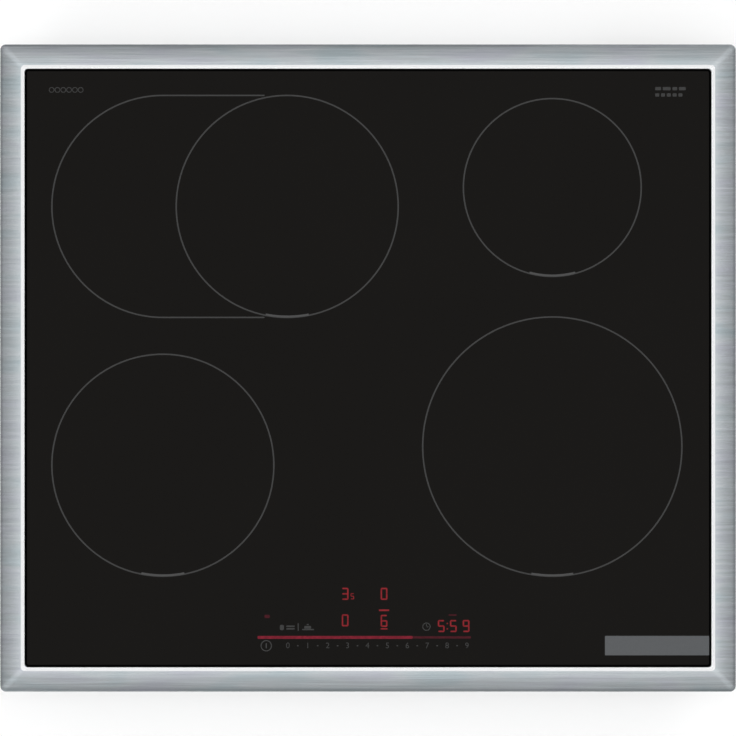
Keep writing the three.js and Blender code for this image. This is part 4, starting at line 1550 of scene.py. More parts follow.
@dataclass
class CoilStack:
    """The coils with their turns of litz wire, ferrites and sensors."""

    bores: dict[str, float] = field(
        default_factory=lambda: {
            "rear_left": 25 * MM,
            "rear_right": 22 * MM,
            "front_left": 25 * MM,
            "front_right": 30 * MM,
        }
    )
    ferrite_count: int = 8
    ferrite_width: float = 7 * MM
    ferrite_height: float = 1.0 * MM
    ferrite_gap: float = 1 * MM
    carrier_margin: float = 2 * MM
    hub: float = 13 * MM
    groove: float = 0.9 * MM
    groove_step: float = 1.8 * MM

    def winding(self, zone: str) -> None:
        """The turns of one round coil.

        Args:
            zone: The zone's name.
        """
        low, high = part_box(f"coil_{zone}")
        centre, height = (low + high) / 2, high.z - low.z
        outer, bore = (high.x - low.x) / 2, self.bores[zone]
        count = round((outer - bore) / height)
        pitch = (outer - bore) / count
        turns = []
        for number in range(count):
            clear_selection()
            bpy.ops.mesh.primitive_torus_add(
                location=(centre.x, centre.y, centre.z),
                major_radius=bore + (number + 0.5) * pitch,
                minor_radius=height / 2,
                major_segments=80,
                minor_segments=10,
            )
            turns.append(Workpiece.added(f"turn_{zone}_{number}").settled())
        winding = Workpiece.merged(f"winding_{zone}", turns)
        winding.smoothed(60).fitted(Look.COPPER, "copper_litz", f"coil_{zone}")

    def crescent(self) -> None:
        """The crescent coil, its turns raised by alternate insets of its upper face."""
        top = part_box("coil_roaster")[1].z
        coil = Workpiece.copy_of_node("winding_roaster", "coil_roaster")
        with coil.editing(Part.FACE):
            coil.pick(Part.FACE, lambda p: p.z > top - 0.1 * MM, lambda n: n.z > 0.9)
            for depth in (-self.groove, self.groove) * 2:
                bpy.ops.mesh.inset(thickness=self.groove_step, depth=depth, use_even_offset=True)
        coil.softened(0.5 * MM, 20).fitted(Look.COPPER, "copper_litz", "coil_roaster")

    def ferrites(self, zone: str) -> None:
        """The ferrite bars on one carrier, set like spokes.

        Args:
            zone: The zone's name.
        """
        low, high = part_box(f"coil_carrier_{zone}")
        centre = (low + high) / 2
        radius = (high.x - low.x) / 2 - 2 * self.carrier_margin - self.ferrite_gap
        foot = (centre.x, centre.y, high.z - self.ferrite_height)
        half = self.ferrite_width / 2
        bars = []
        for number in range(self.ferrite_count):
            corners = (self.hub + self.ferrite_gap, -half, 0), (radius, half, self.ferrite_height)
            bar = Workpiece.box(f"ferrite_{zone}_{number}", *corners).softened(0.3 * MM)
            bars.append(bar.turned(number * 360 / self.ferrite_count).moved(foot))
        Workpiece.merged(f"ferrites_{zone}", bars).fitted(Look.FERRITE, "ferrite")

    def sensor(self, zone: str) -> None:
        """One temperature sensor, turned smooth.

        Args:
            zone: The zone's name.
        """
        low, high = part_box(f"sensor_{zone}")
        height, foot, tip = high.z - low.z, 4.0 * MM, 6.0 * MM
        radius, blunt = (high.x - low.x) / 2, 0.4 * MM
        profile = [(0, 0), (radius - blunt, 0), (radius, blunt), (radius, foot - blunt)]
        profile += [(radius - blunt, foot), (tip + 0.6 * MM, foot + 0.2 * MM)]
        profile += [(tip, foot + 1 * MM), (tip, height - 0.8 * MM)]
        profile += [(tip - 0.25 * MM, height - 0.25 * MM), (tip - 0.8 * MM, height), (0, height)]
        body = Workpiece.spun(f"probe_{zone}", profile, 40).smoothed(35)
        body.moved(((low.x + high.x) / 2, (low.y + high.y) / 2, low.z))
        body.fitted(Look.SILICONE, "silicone", f"sensor_{zone}")

    def build(self) -> None:
        """Makes all five coils' visible parts."""
        for zone in ZONES:
            self.winding(zone)
            self.ferrites(zone)
        self.crescent()
        for zone in (*ZONES, "roaster"):
            self.sensor(zone)


# ---------------------------------------------------------------- electronics


@dataclass
class WoundChoke:
    """A ferrite ring with copper turns, in the space of a choke's node."""

    wire: float = 1.0 * MM
    turns: int = 24

    def build(self, node: str) -> None:
        """Makes one choke.

        Args:
            node: The choke's node.
        """
        low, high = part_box(node)
        centre = (low + high) / 2
        around = (high.z - low.z) / 2
        major = (high.x - low.x) / 2 - around
        core_radius = around - 2 * self.wire
        clear_selection()
        bpy.ops.mesh.primitive_torus_add(
            location=centre,
            major_radius=major,
            minor_radius=core_radius,
            major_segments=64,
            minor_segments=20,
        )
        core = Workpiece.added(f"{node}_core").settled().smoothed(60)
        core.fitted(Look.FERRITE, "ferrite", node)
        loops = []
        for number in range(self.turns):
            turn = 2 * math.pi * (number + 0.5) / self.turns
            if abs(math.sin(turn)) < 0.2:
                continue
            clear_selection()
            bpy.ops.mesh.primitive_torus_add(
                location=centre + Vector((math.cos(turn), math.sin(turn), 0)) * major,
                rotation=(math.pi / 2, 0, turn),
                major_radius=around - self.wire,
                minor_radius=self.wire,
                major_segments=24,
                minor_segments=8,
            )
            loops.append(Workpiece.added(f"loop_{number}").settled())
        winding = Workpiece.merged(f"{node}_winding", loops)
        winding.smoothed(60).fitted(Look.COPPER_BAR, "copper_litz")


@dataclass
class BoardParts:
    """Small parts soldered on one power board, placed from the hob's middle outwards."""

    side: str
    can_radius: float = 6 * MM
    can_height: float = 18 * MM
    can_places: tuple[float, ...] = (28 * MM, 44 * MM, 60 * MM)
    can_row: float = 52 * MM
    relay_place: float = 42 * MM
    relay_rows: tuple[float, ...] = (-8 * MM, 14 * MM)
    relay_size: Point = (28 * MM, 16 * MM, 15 * MM)
    chip_count: int = 8
    chips_in_row: int = 4
    chip_place: float = 96 * MM
    chip_row: float = -84 * MM
    chip_pitch: tuple[float, float] = (15 * MM, 16 * MM)
    chip_size: Point = (8 * MM, 6 * MM, 1.6 * MM)
    transistor_count: int = 4
    transistor_place: float = 152 * MM
    transistor_row: float = -44 * MM
    transistor_pitch: float = 28 * MM
    transistor_size: Point = (5 * MM, 16 * MM, 20 * MM)
    transistor_legs: float = 3 * MM
    socket_count: int = 6
    socket_place: float = 170 * MM
    socket_row: float = -108 * MM
    socket_pitch: float = 9 * MM
    socket_size: Point = (8 * MM, 8 * MM, 8 * MM)
    socket_wall: float = 1.0 * MM
    socket_depth: float = 5 * MM

    def spot(self, out: float, y: float, rise: float = 0) -> Point:
        """A place on this board.

        Args:
            out: Its distance outwards from the hob's middle.
            y: Its place towards the rear.
            rise: Its height over the board.

        Returns:
            The place.
        """
        sign = -1 if self.side == "left" else 1
        return (sign * out, y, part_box(f"power_board_{self.side}")[1].z + rise)

    @staticmethod
    def block(name: str, foot: Point, size: Point) -> Workpiece:
        """A block that stands on the middle of its lower face.

        Args:
            name: The piece's name.
            foot: The middle of its lower face.
            size: Its width, depth and height.

        Returns:
            The block.
        """
        x, y, z = foot
        half_width, half_depth, height = size[0] / 2, size[1] / 2, size[2]
        low = (x - half_width, y - half_depth, z)
        return Workpiece.box(name, low, (x + half_width, y + half_depth, z + height))

    def cans(self) -> None:
        """The row of electrolytic capacitors, each with a crimped foot and a scored top."""
        r, h = self.can_radius, self.can_height
        profile = [(0, 0), (r - 0.3 * MM, 0), (r, 0.5 * MM), (r, 1.6 * MM), (r - 0.6 * MM, 2.2 * MM)]
        profile += [(r, 2.8 * MM), (r, h - 0.6 * MM), (r - 0.6 * MM, h)]
        profile += [(r - 1.2 * MM, h - 0.3 * MM), (0, h - 0.3 * MM)]
        can = Workpiece.spun("can", profile, 32).smoothed(35)
        places = [self.spot(out, self.can_row) for out in self.can_places]
        group = Fastener().scattered(f"cans_{self.side}", can, places)
        group.fitted(Look.CAPACITOR, "capacitor_grey")

    def relays(self) -> None:
        """The relays, one behind the other."""
        relays = []
        for number, row in enumerate(self.relay_rows):
            foot = self.spot(self.relay_place, row + self.relay_size[1] / 2)
            relays.append(self.block(f"relay_{number}", foot, self.relay_size).softened(0.8 * MM))
        Workpiece.merged(f"relays_{self.side}", relays).fitted(Look.BLACK_PLASTIC, "black_plastic")

    def chips(self) -> None:
        """The flat chips, in rows."""
        across, down = self.chip_pitch
        chips = []
        for number in range(self.chip_count):
            row, column = divmod(number, self.chips_in_row)
            foot = self.spot(self.chip_place + across * column, self.chip_row - down * row)
            chips.append(self.block(f"chip_{number}", foot, self.chip_size).softened(0.25 * MM))
        Workpiece.merged(f"chips_{self.side}", chips).fitted(Look.BLACK_PLASTIC, "black_plastic")

    def transistors(self) -> None:
        """The power transistors beside the heat sink."""
        packages = []
        for number in range(self.transistor_count):
            y = self.transistor_row + self.transistor_pitch * number
            foot = self.spot(self.transistor_place, y, self.transistor_legs)
            package = self.block(f"package_{number}", foot, self.transistor_size)
            packages.append(package.softened(0.5 * MM))
        group = Workpiece.merged(f"transistors_{self.side}", packages)
        group.fitted(Look.BLACK_PLASTIC, "black_plastic")

    def sockets(self) -> None:
        """The row of sockets for the coils' leads."""
        sockets = []
        for number in range(self.socket_count):
            foot = self.spot(self.socket_place + self.socket_pitch * number, self.socket_row)
            socket = self.block(f"socket_{number}", foot, self.socket_size)
            with socket.editing(Part.FACE):
                socket.pick(Part.FACE, None, lambda n: n.z > 0.9)
                bpy.ops.mesh.inset(thickness=self.socket_wall, depth=-self.socket_depth)
            sockets.append(socket)
        Workpiece.merged(f"sockets_{self.side}", sockets).fitted(Look.WHITE_PLASTIC, "white_plastic")

    def build(self) -> None:
        """Fits the board."""
        for parts in (self.cans, self.relays, self.chips, self.transistors, self.sockets):
            parts()


@dataclass
class Electronics:
    """Both power boards with their small parts, and the three chokes."""

    mains_wire: float = 1.1 * MM
    mains_turns: int = 28

    def build(self) -> None:
        """Fits both boards, and winds the chokes."""
        for side in SIDES:
            BoardParts(side).build()
            WoundChoke().build(f"choke_{side}")
        WoundChoke(self.mains_wire, self.mains_turns).build("mains_choke")


@dataclass
class BlowerMotor:
    """The turned motor can of each blower."""

    steps: int = 48

    def build(self) -> None:
        """Turns both motors."""
        for side in SIDES:
            node = f"blower_motor_{side}"
            low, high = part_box(node)
            centre, height = (low + high) / 2, high.z - low.z
            radius = (high.x - low.x) / 2
            bore, cap, blunt = 2.3 * MM, 3 * MM, 0.6 * MM
            can = radius - 1 * MM
            neck = can - 0.4 * MM
            profile = [(bore, 0), (can - blunt, 0), (can, blunt), (can, 5 * MM), (neck, 5.5 * MM)]
            profile += [(neck, 6.5 * MM), (can, 7 * MM), (can, height - 2 * MM)]
            profile += [(radius, height - 1.6 * MM), (radius, height), (0, height)]
            profile += [(0, height - cap), (bore, height - cap), (bore, 0)]
            motor = Workpiece.spun(f"motor_can_{side}", profile, self.steps).smoothed(35)
            motor.moved((centre.x, centre.y, low.z))
            motor.fitted(Look.ZINC_PART, "zinc_parts", node)


# ---------------------------------------------------------------- print on the glass


@dataclass
class GlassPrint:
    """The fired print on the glass: zone rings, marks, scale and corner bar."""

    film: float = 0.03 * MM
    lift: float = 0.02 * MM
    line: float = 1.15 * MM
    ring_margin: float = 6 * MM
    arc_line: float = 1.5 * MM
    arc_length: float = 36 * MM
    arc_inset: float = 0.55 * MM
    arc_lift: float = 1.2
    ring_sides: int = 192
    roaster_gap: float = 18 * MM
    bar_size: tuple[float, float] = (82.5 * MM, 15.4 * MM)
    bar_inset: tuple[float, float] = (0.6 * MM, 8.2 * MM)
    sign_place: tuple[float, float] = (20.2 * MM, 15.5 * MM)
    sign_loops: int = 6
    sign_pitch: float = 4.6 * MM
    sign_radius: float = 1.9 * MM
    sign_line: float = 0.6 * MM
    mark_place: tuple[float, float] = (43.3 * MM, 14.5 * MM)
    mark_rows: tuple[tuple[float, tuple[float, ...]], ...] = (
        (0, (4.6 * MM, 6.2 * MM, 3.8 * MM, 5.4 * MM)),
        (5 * MM, (3.2 * MM, 3.2 * MM, 3.2 * MM, 3.2 * MM, 3.2 * MM)),
    )
    mark_depth: float = 2.6 * MM
    mark_gap: float = 1.4 * MM

    def level(self) -> float:
        """The print's lower face, just over the glass."""
        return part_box("glass_panel")[1].z + self.lift

    def annulus(self, name: str, radius: float, centre: Vector, line: float) -> Workpiece:
        """A thin flat ring on the glass.

        Args:
            name: The piece's name.
            radius: The radius of the line's middle.
            centre: The ring's middle.
            line: The line's width.

        Returns:
            The flat ring, not yet thickened.
        """
        middle = (centre.x, centre.y, self.level())
        return Workpiece.flat_ring(name, radius, line, middle, self.ring_sides)

    def zone_ring(self, zone: str) -> None:
        """One zone's ring, and the short bright arc at its front.

        Args:
            zone: The zone's name.
        """
        low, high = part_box(f"coil_{zone}")
        centre = (low + high) / 2
        radius = (high.x - low.x) / 2 + self.ring_margin
        ring = self.annulus(f"ring_{zone}", radius - self.line / 2, centre, self.line)
        ring.extruded((0, 0, self.film)).fitted(Look.RING_PRINT, "ceramic_glass")
        half = self.arc_length / 2
        middle_radius = radius - self.arc_inset - self.arc_line / 2
        arc = self.annulus(f"arc_{zone}", middle_radius, centre, self.arc_line)
        with arc.editing(Part.FACE):
            arc.pick(Part.FACE, lambda p: abs(p.x - centre.x) > half or p.y > centre.y)
            bpy.ops.mesh.delete(type="FACE")
        arc.moved((0, 0, self.arc_lift * self.film))
        arc.extruded((0, 0, self.film)).fitted(Look.MARK_PRINT, "ceramic_glass")

    def roaster_outline(self) -> None:
        """The half ring of the roaster extension with its two straight runs."""
        low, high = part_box("coil_roaster")
        round_low, round_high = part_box("coil_rear_left")
        radius = (round_high.x - round_low.x) / 2 + self.ring_margin
        centre = Vector((low.x + radius - self.ring_margin, (low.y + high.y) / 2, 0))
        run = (round_low.x + round_high.x) / 2 - self.roaster_gap - centre.x
        outline = self.annulus("ring_roaster", radius - self.line / 2, centre, self.line)
        with outline.editing(Part.EDGE):
            bpy.ops.mesh.select_all(action="SELECT")
            bpy.ops.mesh.bisect(plane_co=centre, plane_no=(1, 0, 0), clear_outer=True)
            outline.pick(Part.EDGE, lambda p: abs(p.x - centre.x) < 0.01 * MM)
            bpy.ops.mesh.extrude_edges_move(TRANSFORM_OT_translate={"value": (run, 0, 0)})
        outline.extruded((0, 0, self.film)).fitted(Look.RING_PRINT, "ceramic_glass")

    def bar(self, name: str, middle: Point, size: tuple[float, float], corner: float, look: Look) -> None:
        """A plain printed bar.

        Args:
            name: The piece's name.
            middle: Its middle; the height is set here.
            size: Its width and depth.
            corner: Its corners' radius.
            look: Its print.
        """
        plate = Workpiece.rounded_plate(name, size, corner, 0, steps=3)
        plate.moved((middle[0], middle[1], self.level()))
        plate.extruded((0, 0, self.film)).fitted(look, "ceramic_glass")

    def corner_bar(self) -> None:
        """The plain grey bar at the front right corner."""
        low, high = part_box("glass_panel")
        (width, depth), (inset_x, inset_y) = self.bar_size, self.bar_inset
        middle = (high.x - inset_x - width / 2, low.y + inset_y + depth / 2, 0)
        self.bar("corner_bar", middle, self.bar_size, 0.4 * MM, Look.CORNER_BAR)

    def coil_sign(self) -> None:
        """A generic row of small loops at the rear left corner."""
        low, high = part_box("glass_panel")
        left, rear = low.x + self.sign_place[0], high.y - self.sign_place[1]
        loops = []
        for number in range(self.sign_loops):
            centre = Vector((left + number * self.sign_pitch, rear, 0))
            loops.append(self.annulus(f"loop_{number}", self.sign_radius, centre, self.sign_line))
        sign = Workpiece.merged("coil_sign", loops)
        sign.extruded((0, 0, self.film)).fitted(Look.SCALE_PRINT, "ceramic_glass")

    def rear_marks(self) -> None:
        """Two rows of plain short bars at the rear right corner."""
        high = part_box("glass_panel")[1]
        right, rear = high.x - self.mark_place[0], high.y - self.mark_place[1]
        for row, (drop, lengths) in enumerate(self.mark_rows):
            x = right
            for number, length in enumerate(lengths):
                middle, size = (x + length / 2, rear - drop, 0), (length, self.mark_depth)
                corner = 0.2 * min(size)
                self.bar(f"rear_mark_{row}_{number}", middle, size, corner, Look.SCALE_PRINT)
                x += length + self.mark_gap

    def build(self) -> None:
        """Prints everything on the glass apart from the controls."""
        for zone in ZONES:
            self.zone_ring(zone)
        self.roaster_outline()
        self.corner_bar()
        self.coil_sign()
        self.rear_marks()


# ---------------------------------------------------------------- touch controls


class Stroke(Enum):
    """The seven strokes of a lit figure: place across, place up, upright or not."""

    TOP = (0, 1, False)
    TOP_RIGHT = (1, 0.5, True)
    FOOT_RIGHT = (1, -0.5, True)
    FOOT = (0, -1, False)
    FOOT_LEFT = (-1, -0.5, True)
    TOP_LEFT = (-1, 0.5, True)
    MIDDLE = (0, 0, False)


FIGURES: dict[str, tuple[Stroke, ...]] = {
    "0": (Stroke.TOP, Stroke.TOP_RIGHT, Stroke.FOOT_RIGHT, Stroke.FOOT, Stroke.FOOT_LEFT, Stroke.TOP_LEFT),
    "3": (Stroke.TOP, Stroke.TOP_RIGHT, Stroke.MIDDLE, Stroke.FOOT_RIGHT, Stroke.FOOT),
    "5": (Stroke.TOP, Stroke.TOP_LEFT, Stroke.MIDDLE, Stroke.FOOT_RIGHT, Stroke.FOOT),
    "6": (Stroke.TOP, Stroke.TOP_LEFT, Stroke.FOOT_LEFT, Stroke.FOOT, Stroke.FOOT_RIGHT, Stroke.MIDDLE),
    "9": (Stroke.TOP, Stroke.TOP_RIGHT, Stroke.TOP_LEFT, Stroke.MIDDLE, Stroke.FOOT_RIGHT, Stroke.FOOT),
}


@dataclass(frozen=True)
class LitNumber:
    """A lit figure and its middle, in millimetres from the display's middle."""

    name: str
    figure: str
    x: float
    y: float
    share: float = 1


@dataclass(frozen=True)
class Patch:
    """A small bar of light or print, its middle and size in millimetres from the display's middle."""

    name: str
    x: float
    y: float
    width: float
    depth: float
    look: Look


NUMBERS = (
    LitNumber("level_rear_left", "3", -15.1, 18.1),
    LitNumber("level_rear_left_half", "5", -9.4, 16.2, 0.5),
    LitNumber("level_rear_right", "0", 15.7, 18.1),
    LitNumber("level_front_left", "0", -15.1, -2.9),
    LitNumber("level_front_right", "6", 15.7, -3.3),
    LitNumber("timer_minutes", "5", 61.0, -7.4),
    LitNumber("timer_tens", "5", 70.6, -7.4),
    LitNumber("timer_ones", "9", 80.7, -7.4),
)
LIGHTS = (
    Patch("zone_bar_over", 15.7, 5.1, 8.2, 1.3, Look.FIGURE),
    Patch("zone_bar_under", 15.7, -9.6, 5.5, 1.0, Look.FIGURE),
    Patch("timer_colon_0", 65.8, -5.4, 1.1, 1.1, Look.FIGURE),
    Patch("timer_colon_1", 65.8, -9.6, 1.1, 1.1, Look.FIGURE),
    Patch("timer_label", 70.0, 1.3, 6.4, 1.1, Look.SLIDER_DIM),
    Patch("guard_light", -76.9, 0.2, 4.2, 2.6, Look.SLIDER_DIM),
)
SIGNS = (
    Patch("lock_sign", -65.2, -8.6, 3.2, 4.2, Look.SCALE_PRINT),
    Patch("lock_line_upper", -58.4, -7.6, 6.6, 1.2, Look.SCALE_PRINT),
    Patch("lock_line_lower", -58.4, -9.6, 6.6, 1.2, Look.SCALE_PRINT),
    Patch("sign_divider", -52.3, -8.2, 0.8, 6.2, Look.SCALE_PRINT),
    Patch("pan_base", -44.5, -10.2, 9.4, 1.0, Look.SCALE_PRINT),
    Patch("pan_body", -44.8, -8.4, 5.4, 2.2, Look.SCALE_PRINT),
    Patch("pan_lid", -44.8, -6.2, 1.6, 1.0, Look.SCALE_PRINT),
)


@dataclass
class TouchControls:
    """The lit figures, the slider and the printed scale over the touch board.

    The dot's size and the places of the two ringed signs are in millimetres, as in spot().
    """

    film: float = 0.03 * MM
    lift: float = 0.02 * MM
    figure_width: float = 5.4 * MM
    figure_height: float = 9.6 * MM
    stroke: float = 1.15 * MM
    slider_depth: float = 2.3 * MM
    slider_length: float = 169 * MM
    slider_lit: float = 123 * MM
    slider_y: float = -16.4 * MM
    scale_y: float = -23.0 * MM
    scale_start: float = -60.5 * MM
    scale_pitch: float = 15.77 * MM
    digit_size: float = 6.4 * MM
    dot_size: tuple[float, float] = (1.3, 0.9)
    power_place: float = -77.6
    clock_place: tuple[float, float] = (49.3, -7.9)
    loop_sides: int = 48
    origin: Vector = field(default_factory=lambda: middle_of("display_light_guide"))

    def spot(self, x: float, y: float) -> Point:
        """A place on the glass, counted from the panel's middle in millimetres."""
        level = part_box("glass_panel")[1].z + self.lift
        return (self.origin.x + x * MM, self.origin.y + y * MM, level)

    def film_plate(self, name: str, place: Point, size: tuple[float, float], radius: float) -> Workpiece:
        """A thin lit or printed patch.

        Args:
            name: The piece's name.
            place: Its middle.
            size: Its width and depth.
            radius: Its corners' radius.

        Returns:
            The patch.
        """
        plate = Workpiece.rounded_plate(name, size, radius, 0, steps=2)
        return plate.moved(place).extruded((0, 0, self.film))

    def number(self, number: LitNumber) -> None:
        """One seven-stroke figure.

        Args:
            number: What it shows, and where.
        """
        share = number.share
        across = (self.figure_width - self.stroke) / 2 * share
        up = (self.figure_height - self.stroke) / 2 * share
        place = self.spot(number.x, number.y)
        strokes = []
        for stroke in FIGURES[number.figure]:
            side, rise, upright = stroke.value
            length = (up if upright else 2 * across) + 0.25 * self.stroke * share
            size = (self.stroke * share, length) if upright else (length, self.stroke * share)
            middle = (place[0] + side * across, place[1] + rise * up, place[2])
            strokes.append(self.film_plate("stroke", middle, size, 0.42 * self.stroke * share))
        Workpiece.merged(number.name, strokes).fitted(Look.FIGURE, "ceramic_glass")

    def patch(self, patch: Patch) -> None:
        """One small bar of light or print.

        Args:
            patch: What it is, and where.
        """
        size = (patch.width * MM, patch.depth * MM)
        plate = self.film_plate(patch.name, self.spot(patch.x, patch.y), size, 0.3 * min(size))
        plate.fitted(patch.look, "ceramic_glass")

    def loop(self, name: str, x: float, y: float, radius: float, line: float) -> Workpiece:
        """A small printed ring, its sizes in millimetres.

        Args:
            name: The piece's name.
            x: Its middle across.
            y: Its middle up.
            radius: The radius of the line's middle.
            line: The line's width.

        Returns:
            The ring.
        """
        ring = Workpiece.flat_ring(name, radius * MM, line * MM, self.spot(x, y), self.loop_sides)
        return ring.extruded((0, 0, self.film))

    def scale_digit(self, digit: int) -> None:
        """One number of the printed scale.

        Args:
            digit: The number.
        """
        clear_selection()
        bpy.ops.object.text_add(location=(0, 0, 0))
        text = bpy.context.object
        text.data.body = str(digit)
        text.data.size = self.digit_size
        text.data.align_x = "CENTER"
        text.data.align_y = "CENTER"
        text.data.extrude = self.film / 2
        bpy.ops.object.convert(target="MESH")
        number = Workpiece.added(f"scale_{digit}")
        x, y, z = self.spot(0, 0)
        place = (x + self.scale_start + digit * self.scale_pitch, y + self.scale_y, z + self.film / 2)
        number.moved(place).fitted(Look.SCALE_PRINT, "ceramic_glass")

    def scale(self) -> None:
        """Numbers 0 to 9 with a dot between each two."""
        for digit in range(10):
            self.scale_digit(digit)
        start, pitch, y = self.scale_start / MM, self.scale_pitch / MM, self.scale_y / MM
        for number in range(9):
            x, name = start + (number + 0.5) * pitch, f"scale_dot_{number}"
            self.patch(Patch(name, x, y, *self.dot_size, Look.SCALE_PRINT))

    def slider(self) -> None:
        """The slider: its lit length, then the dim rest."""
        left = -self.slider_length / 2
        dim = self.slider_length - self.slider_lit
        lit_x, dim_x = left + self.slider_lit / 2, left + self.slider_lit + dim / 2
        y, depth = self.slider_y / MM, self.slider_depth / MM
        self.patch(Patch("slider_lit", lit_x / MM, y, self.slider_lit / MM, depth, Look.SLIDER))
        self.patch(Patch("slider_dim", dim_x / MM, y, dim / MM, depth * 0.8, Look.SLIDER_DIM))

    def icons(self) -> None:
        """The signs with a ring: power and clock."""
        y = self.scale_y / MM
        power = self.loop("power_ring", self.power_place, y, 4.1, 0.7)
        bar = self.film_plate("bar", self.spot(self.power_place, y), (0.9 * MM, 4 * MM), 0.2 * MM)
        power.joined([bar]).fitted(Look.RING_PRINT, "ceramic_glass")
        x, y = self.clock_place
        clock = self.loop("clock_sign", x, y, 2.9, 0.6)
        upright = self.film_plate("hand", self.spot(x, y + 0.9), (0.6 * MM, 2.4 * MM), 0.1 * MM)
        level = self.film_plate("hand", self.spot(x + 0.7, y - 0.1), (1.8 * MM, 0.6 * MM), 0.1 * MM)
        clock.joined([upright, level]).fitted(Look.RING_PRINT, "ceramic_glass")

    def build(self) -> None:
        """Makes the whole control field."""
        self.scale()
        self.slider()
        for number in NUMBERS:
            self.number(number)
        self.icons()
        for patch in (*LIGHTS, *SIGNS):
            self.patch(patch)


# ---------------------------------------------------------------- carried-over nodes


@dataclass(frozen=True)
class Dress:
    """How a node is finished: its look, its material slot, and the rounding of its edges in millimetres."""

    look: Look
    slot: str = ""
    rounding: float = 0
    clamped: bool = True


@dataclass
class NodeDressing:
    """Finishes of the frame nodes that no class above replaces."""

    dresses: dict[str, Dress] = field(
        default_factory=lambda: {
            "glass_bead": Dress(Look.SEALANT),
            "worktop_seal": Dress(Look.FOAM),
            "mica_": Dress(Look.MICA),
            "coil_deck": Dress(Look.DECK, "deck_aluminium", 0.3),
            "coil_carrier_": Dress(Look.CARRIER, "black_plastic", 0.3, clamped=False),
            "electronics_cradle": Dress(Look.CARRIER, "black_plastic", 0.4),
            "power_board_": Dress(Look.BOARD, "circuit_board", 0.2),
            "filter_board": Dress(Look.BOARD, "circuit_board", 0.2),
            "touch_board": Dress(Look.BOARD, "circuit_board", 0.2),
            "touch_board_bracket": Dress(Look.CARRIER, "black_plastic", 0.4),
            "display_light_guide": Dress(Look.WHITE_PLASTIC, "white_plastic", 0.3),
            "heat_sink_": Dress(Look.HEAT_SINK, "deck_aluminium", 0.3),
            "capacitor_": Dress(Look.CAPACITOR, "capacitor_grey", 1.5),
            "blower_housing_": Dress(Look.BLACK_PLASTIC, "black_plastic", 0.5),
            "impeller_": Dress(Look.CARRIER, "black_plastic", 0.2),
        }
    )

    def dress_of(self, node: str) -> Dress:
        """The finish of a node, by the longest name that it starts with.

        Args:
            node: The node's name.

        Returns:
            Its finish.
        """
        matches = [start for start in self.dresses if node.startswith(start)]
        return self.dresses[max(matches, key=len)]

    def build(self) -> None:
        """Rounds and dresses every node that isn't replaced yet."""
        for node, obj in list(frame["nodes"].items()):
            if obj.hide_render:
                continue
            dress = self.dress_of(node)
            if dress.rounding:
                model = Workpiece.copy_of_node(f"{node}_model", node)
                model.softened(dress.rounding * MM, clamped=dress.clamped)
                model.fitted(dress.look, dress.slot, node, body=obj["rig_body"])
            else:
                dress_node(node, dress.look)


# ---------------------------------------------------------------- studio


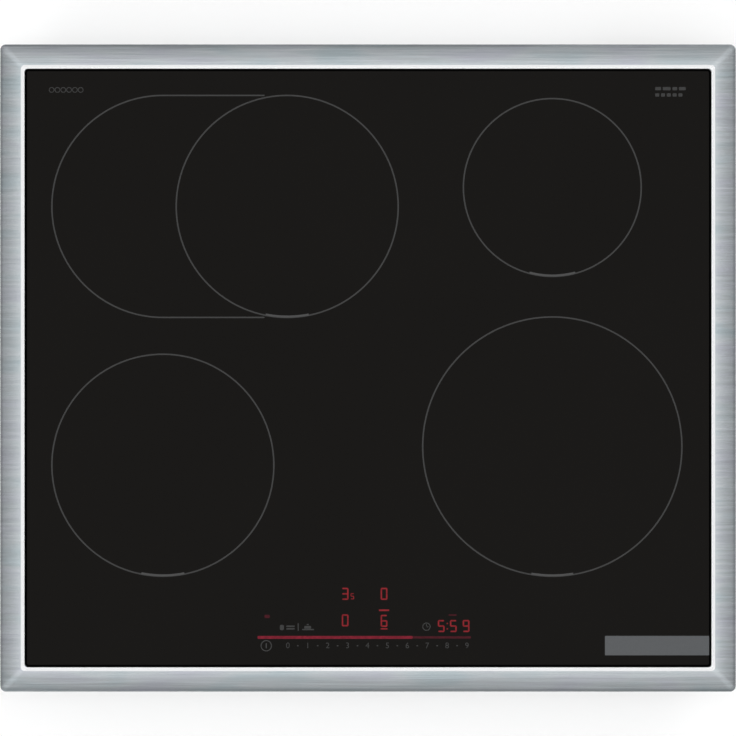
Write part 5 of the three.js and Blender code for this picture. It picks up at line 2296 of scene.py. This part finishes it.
@dataclass
class Studio:
    """Floor, soft lights and the camera straight above."""

    floor_half: float = 12.0
    floor_drop: float = 0.2 * MM
    camera_lens: float = 400
    sensor: float = 36
    view_width: float = 0.583
    softbox_size: float = 2.0
    softbox_distance: float = 3.0
    softbox_power: float = 13
    softbox_elevation: float = 30
    backdrop_strength: float = 1.7
    dome: tuple[tuple[float, float], ...] = (
        (90, 0.45),
        (62, 0.40),
        (47, 0.42),
        (33, 0.32),
        (23, 0.66),
        (14, 1.1),
        (9, 2.5),
        (7.5, 0.13),
    )

    def floor(self) -> None:
        """A pale, flat floor just under the hob."""
        clear_selection()
        bpy.ops.mesh.primitive_grid_add(x_subdivisions=8, y_subdivisions=8, size=2 * self.floor_half)
        floor = Workpiece.added("studio_floor")
        floor.moved((0, 0, -self.floor_drop)).dressed(Look.FLOOR)

    def softbox(self, name: str, place: Vector) -> bpy.types.Object:
        """One square soft light that faces the hob.

        Args:
            name: The light's name.
            place: Where it stands.

        Returns:
            The light.
        """
        light = bpy.data.lights.new(name, "AREA")
        light.shape = "SQUARE"
        light.size = self.softbox_size
        light.energy = self.softbox_power
        obj = bpy.data.objects.new(name, light)
        bpy.context.scene.collection.objects.link(obj)
        obj.location = place
        obj.rotation_euler = (-place).to_track_quat("-Z", "Y").to_euler()
        obj.visible_camera = False
        return obj

    def lights(self) -> None:
        """Two large softboxes, front left and rear right, kept off the glass so that it stays black."""
        lit = bpy.data.collections.new("softbox_lit")
        for obj in bpy.data.objects:
            if obj.type == "MESH" and obj.get("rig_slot") != "ceramic_glass":
                lit.objects.link(obj)
        rise = math.radians(self.softbox_elevation)
        for name, azimuth in (("softbox_front", 230), ("softbox_rear", 50)):
            turn = math.radians(azimuth)
            level, reach = math.sin(rise), math.cos(rise)
            direction = Vector((math.cos(turn) * reach, math.sin(turn) * reach, level))
            light = self.softbox(name, direction * self.softbox_distance)
            light.light_linking.receiver_collection = lit
        self.backdrop_light()

    def backdrop_light(self) -> None:
        """An even light that only the floor receives, so that it stays pale right up to the hob."""
        light = bpy.data.lights.new("backdrop_light", "SUN")
        light.energy = self.backdrop_strength
        obj = bpy.data.objects.new("backdrop_light", light)
        bpy.context.scene.collection.objects.link(obj)
        lit = bpy.data.collections.new("backdrop")
        lit.objects.link(bpy.data.objects["studio_floor"])
        obj.light_linking.receiver_collection = lit
        obj.light_linking.blocker_collection = lit

    def world(self) -> None:
        """A soft dome: a bright ring overhead round a dim gap, and an even wall below it."""
        world = bpy.data.worlds.new("studio_dome")
        world.use_nodes = True
        bpy.context.scene.world = world
        nodes, links = world.node_tree.nodes, world.node_tree.links
        direction = nodes.new("ShaderNodeTexCoord")
        split = nodes.new("ShaderNodeSeparateXYZ")
        ramp = nodes.new("ShaderNodeValToRGB")
        while len(ramp.color_ramp.elements) < len(self.dome):
            ramp.color_ramp.elements.new(1.0)
        for element, (from_zenith, light) in zip(ramp.color_ramp.elements, self.dome):
            element.position = math.cos(math.radians(from_zenith))
            element.color = grey(light)
        links.new(direction.outputs["Generated"], split.inputs[0])
        links.new(split.outputs["Z"], ramp.inputs["Fac"])
        links.new(ramp.outputs["Color"], nodes["Background"].inputs["Color"])

    def camera(self) -> None:
        """A long lens straight above, +Y up in the picture."""
        data = bpy.data.cameras.new("camera")
        data.lens = self.camera_lens
        data.sensor_width = self.sensor
        distance = self.view_width * self.camera_lens / self.sensor
        data.clip_start, data.clip_end = 0.1, 50
        camera = bpy.data.objects.new("camera", data)
        bpy.context.scene.collection.objects.link(camera)
        camera.location = (0, 0, CAD_BOX[1].z + distance)
        bpy.context.scene.camera = camera

    def build(self) -> None:
        """Sets the whole studio."""
        self.floor()
        self.lights()
        self.world()
        self.camera()
        bpy.context.scene.view_settings.view_transform = "Standard"


# ---------------------------------------------------------------- assembly


def main() -> None:
    """Builds the sub-assemblies in order, from the top down, then the studio."""
    outside = (SteelFrame(), GlassPanel(), GlassPrint(), TouchControls(), TrayDetails(), MainsTerminal())
    inside = (CoilStack(), Electronics(), BlowerMotor(), NodeDressing())
    for assembly in (*outside, *inside, Studio()):
        LOG.info("building %s", type(assembly).__name__)
        assembly.build()
    clear_selection()


if __name__ == "__main__":
    main()
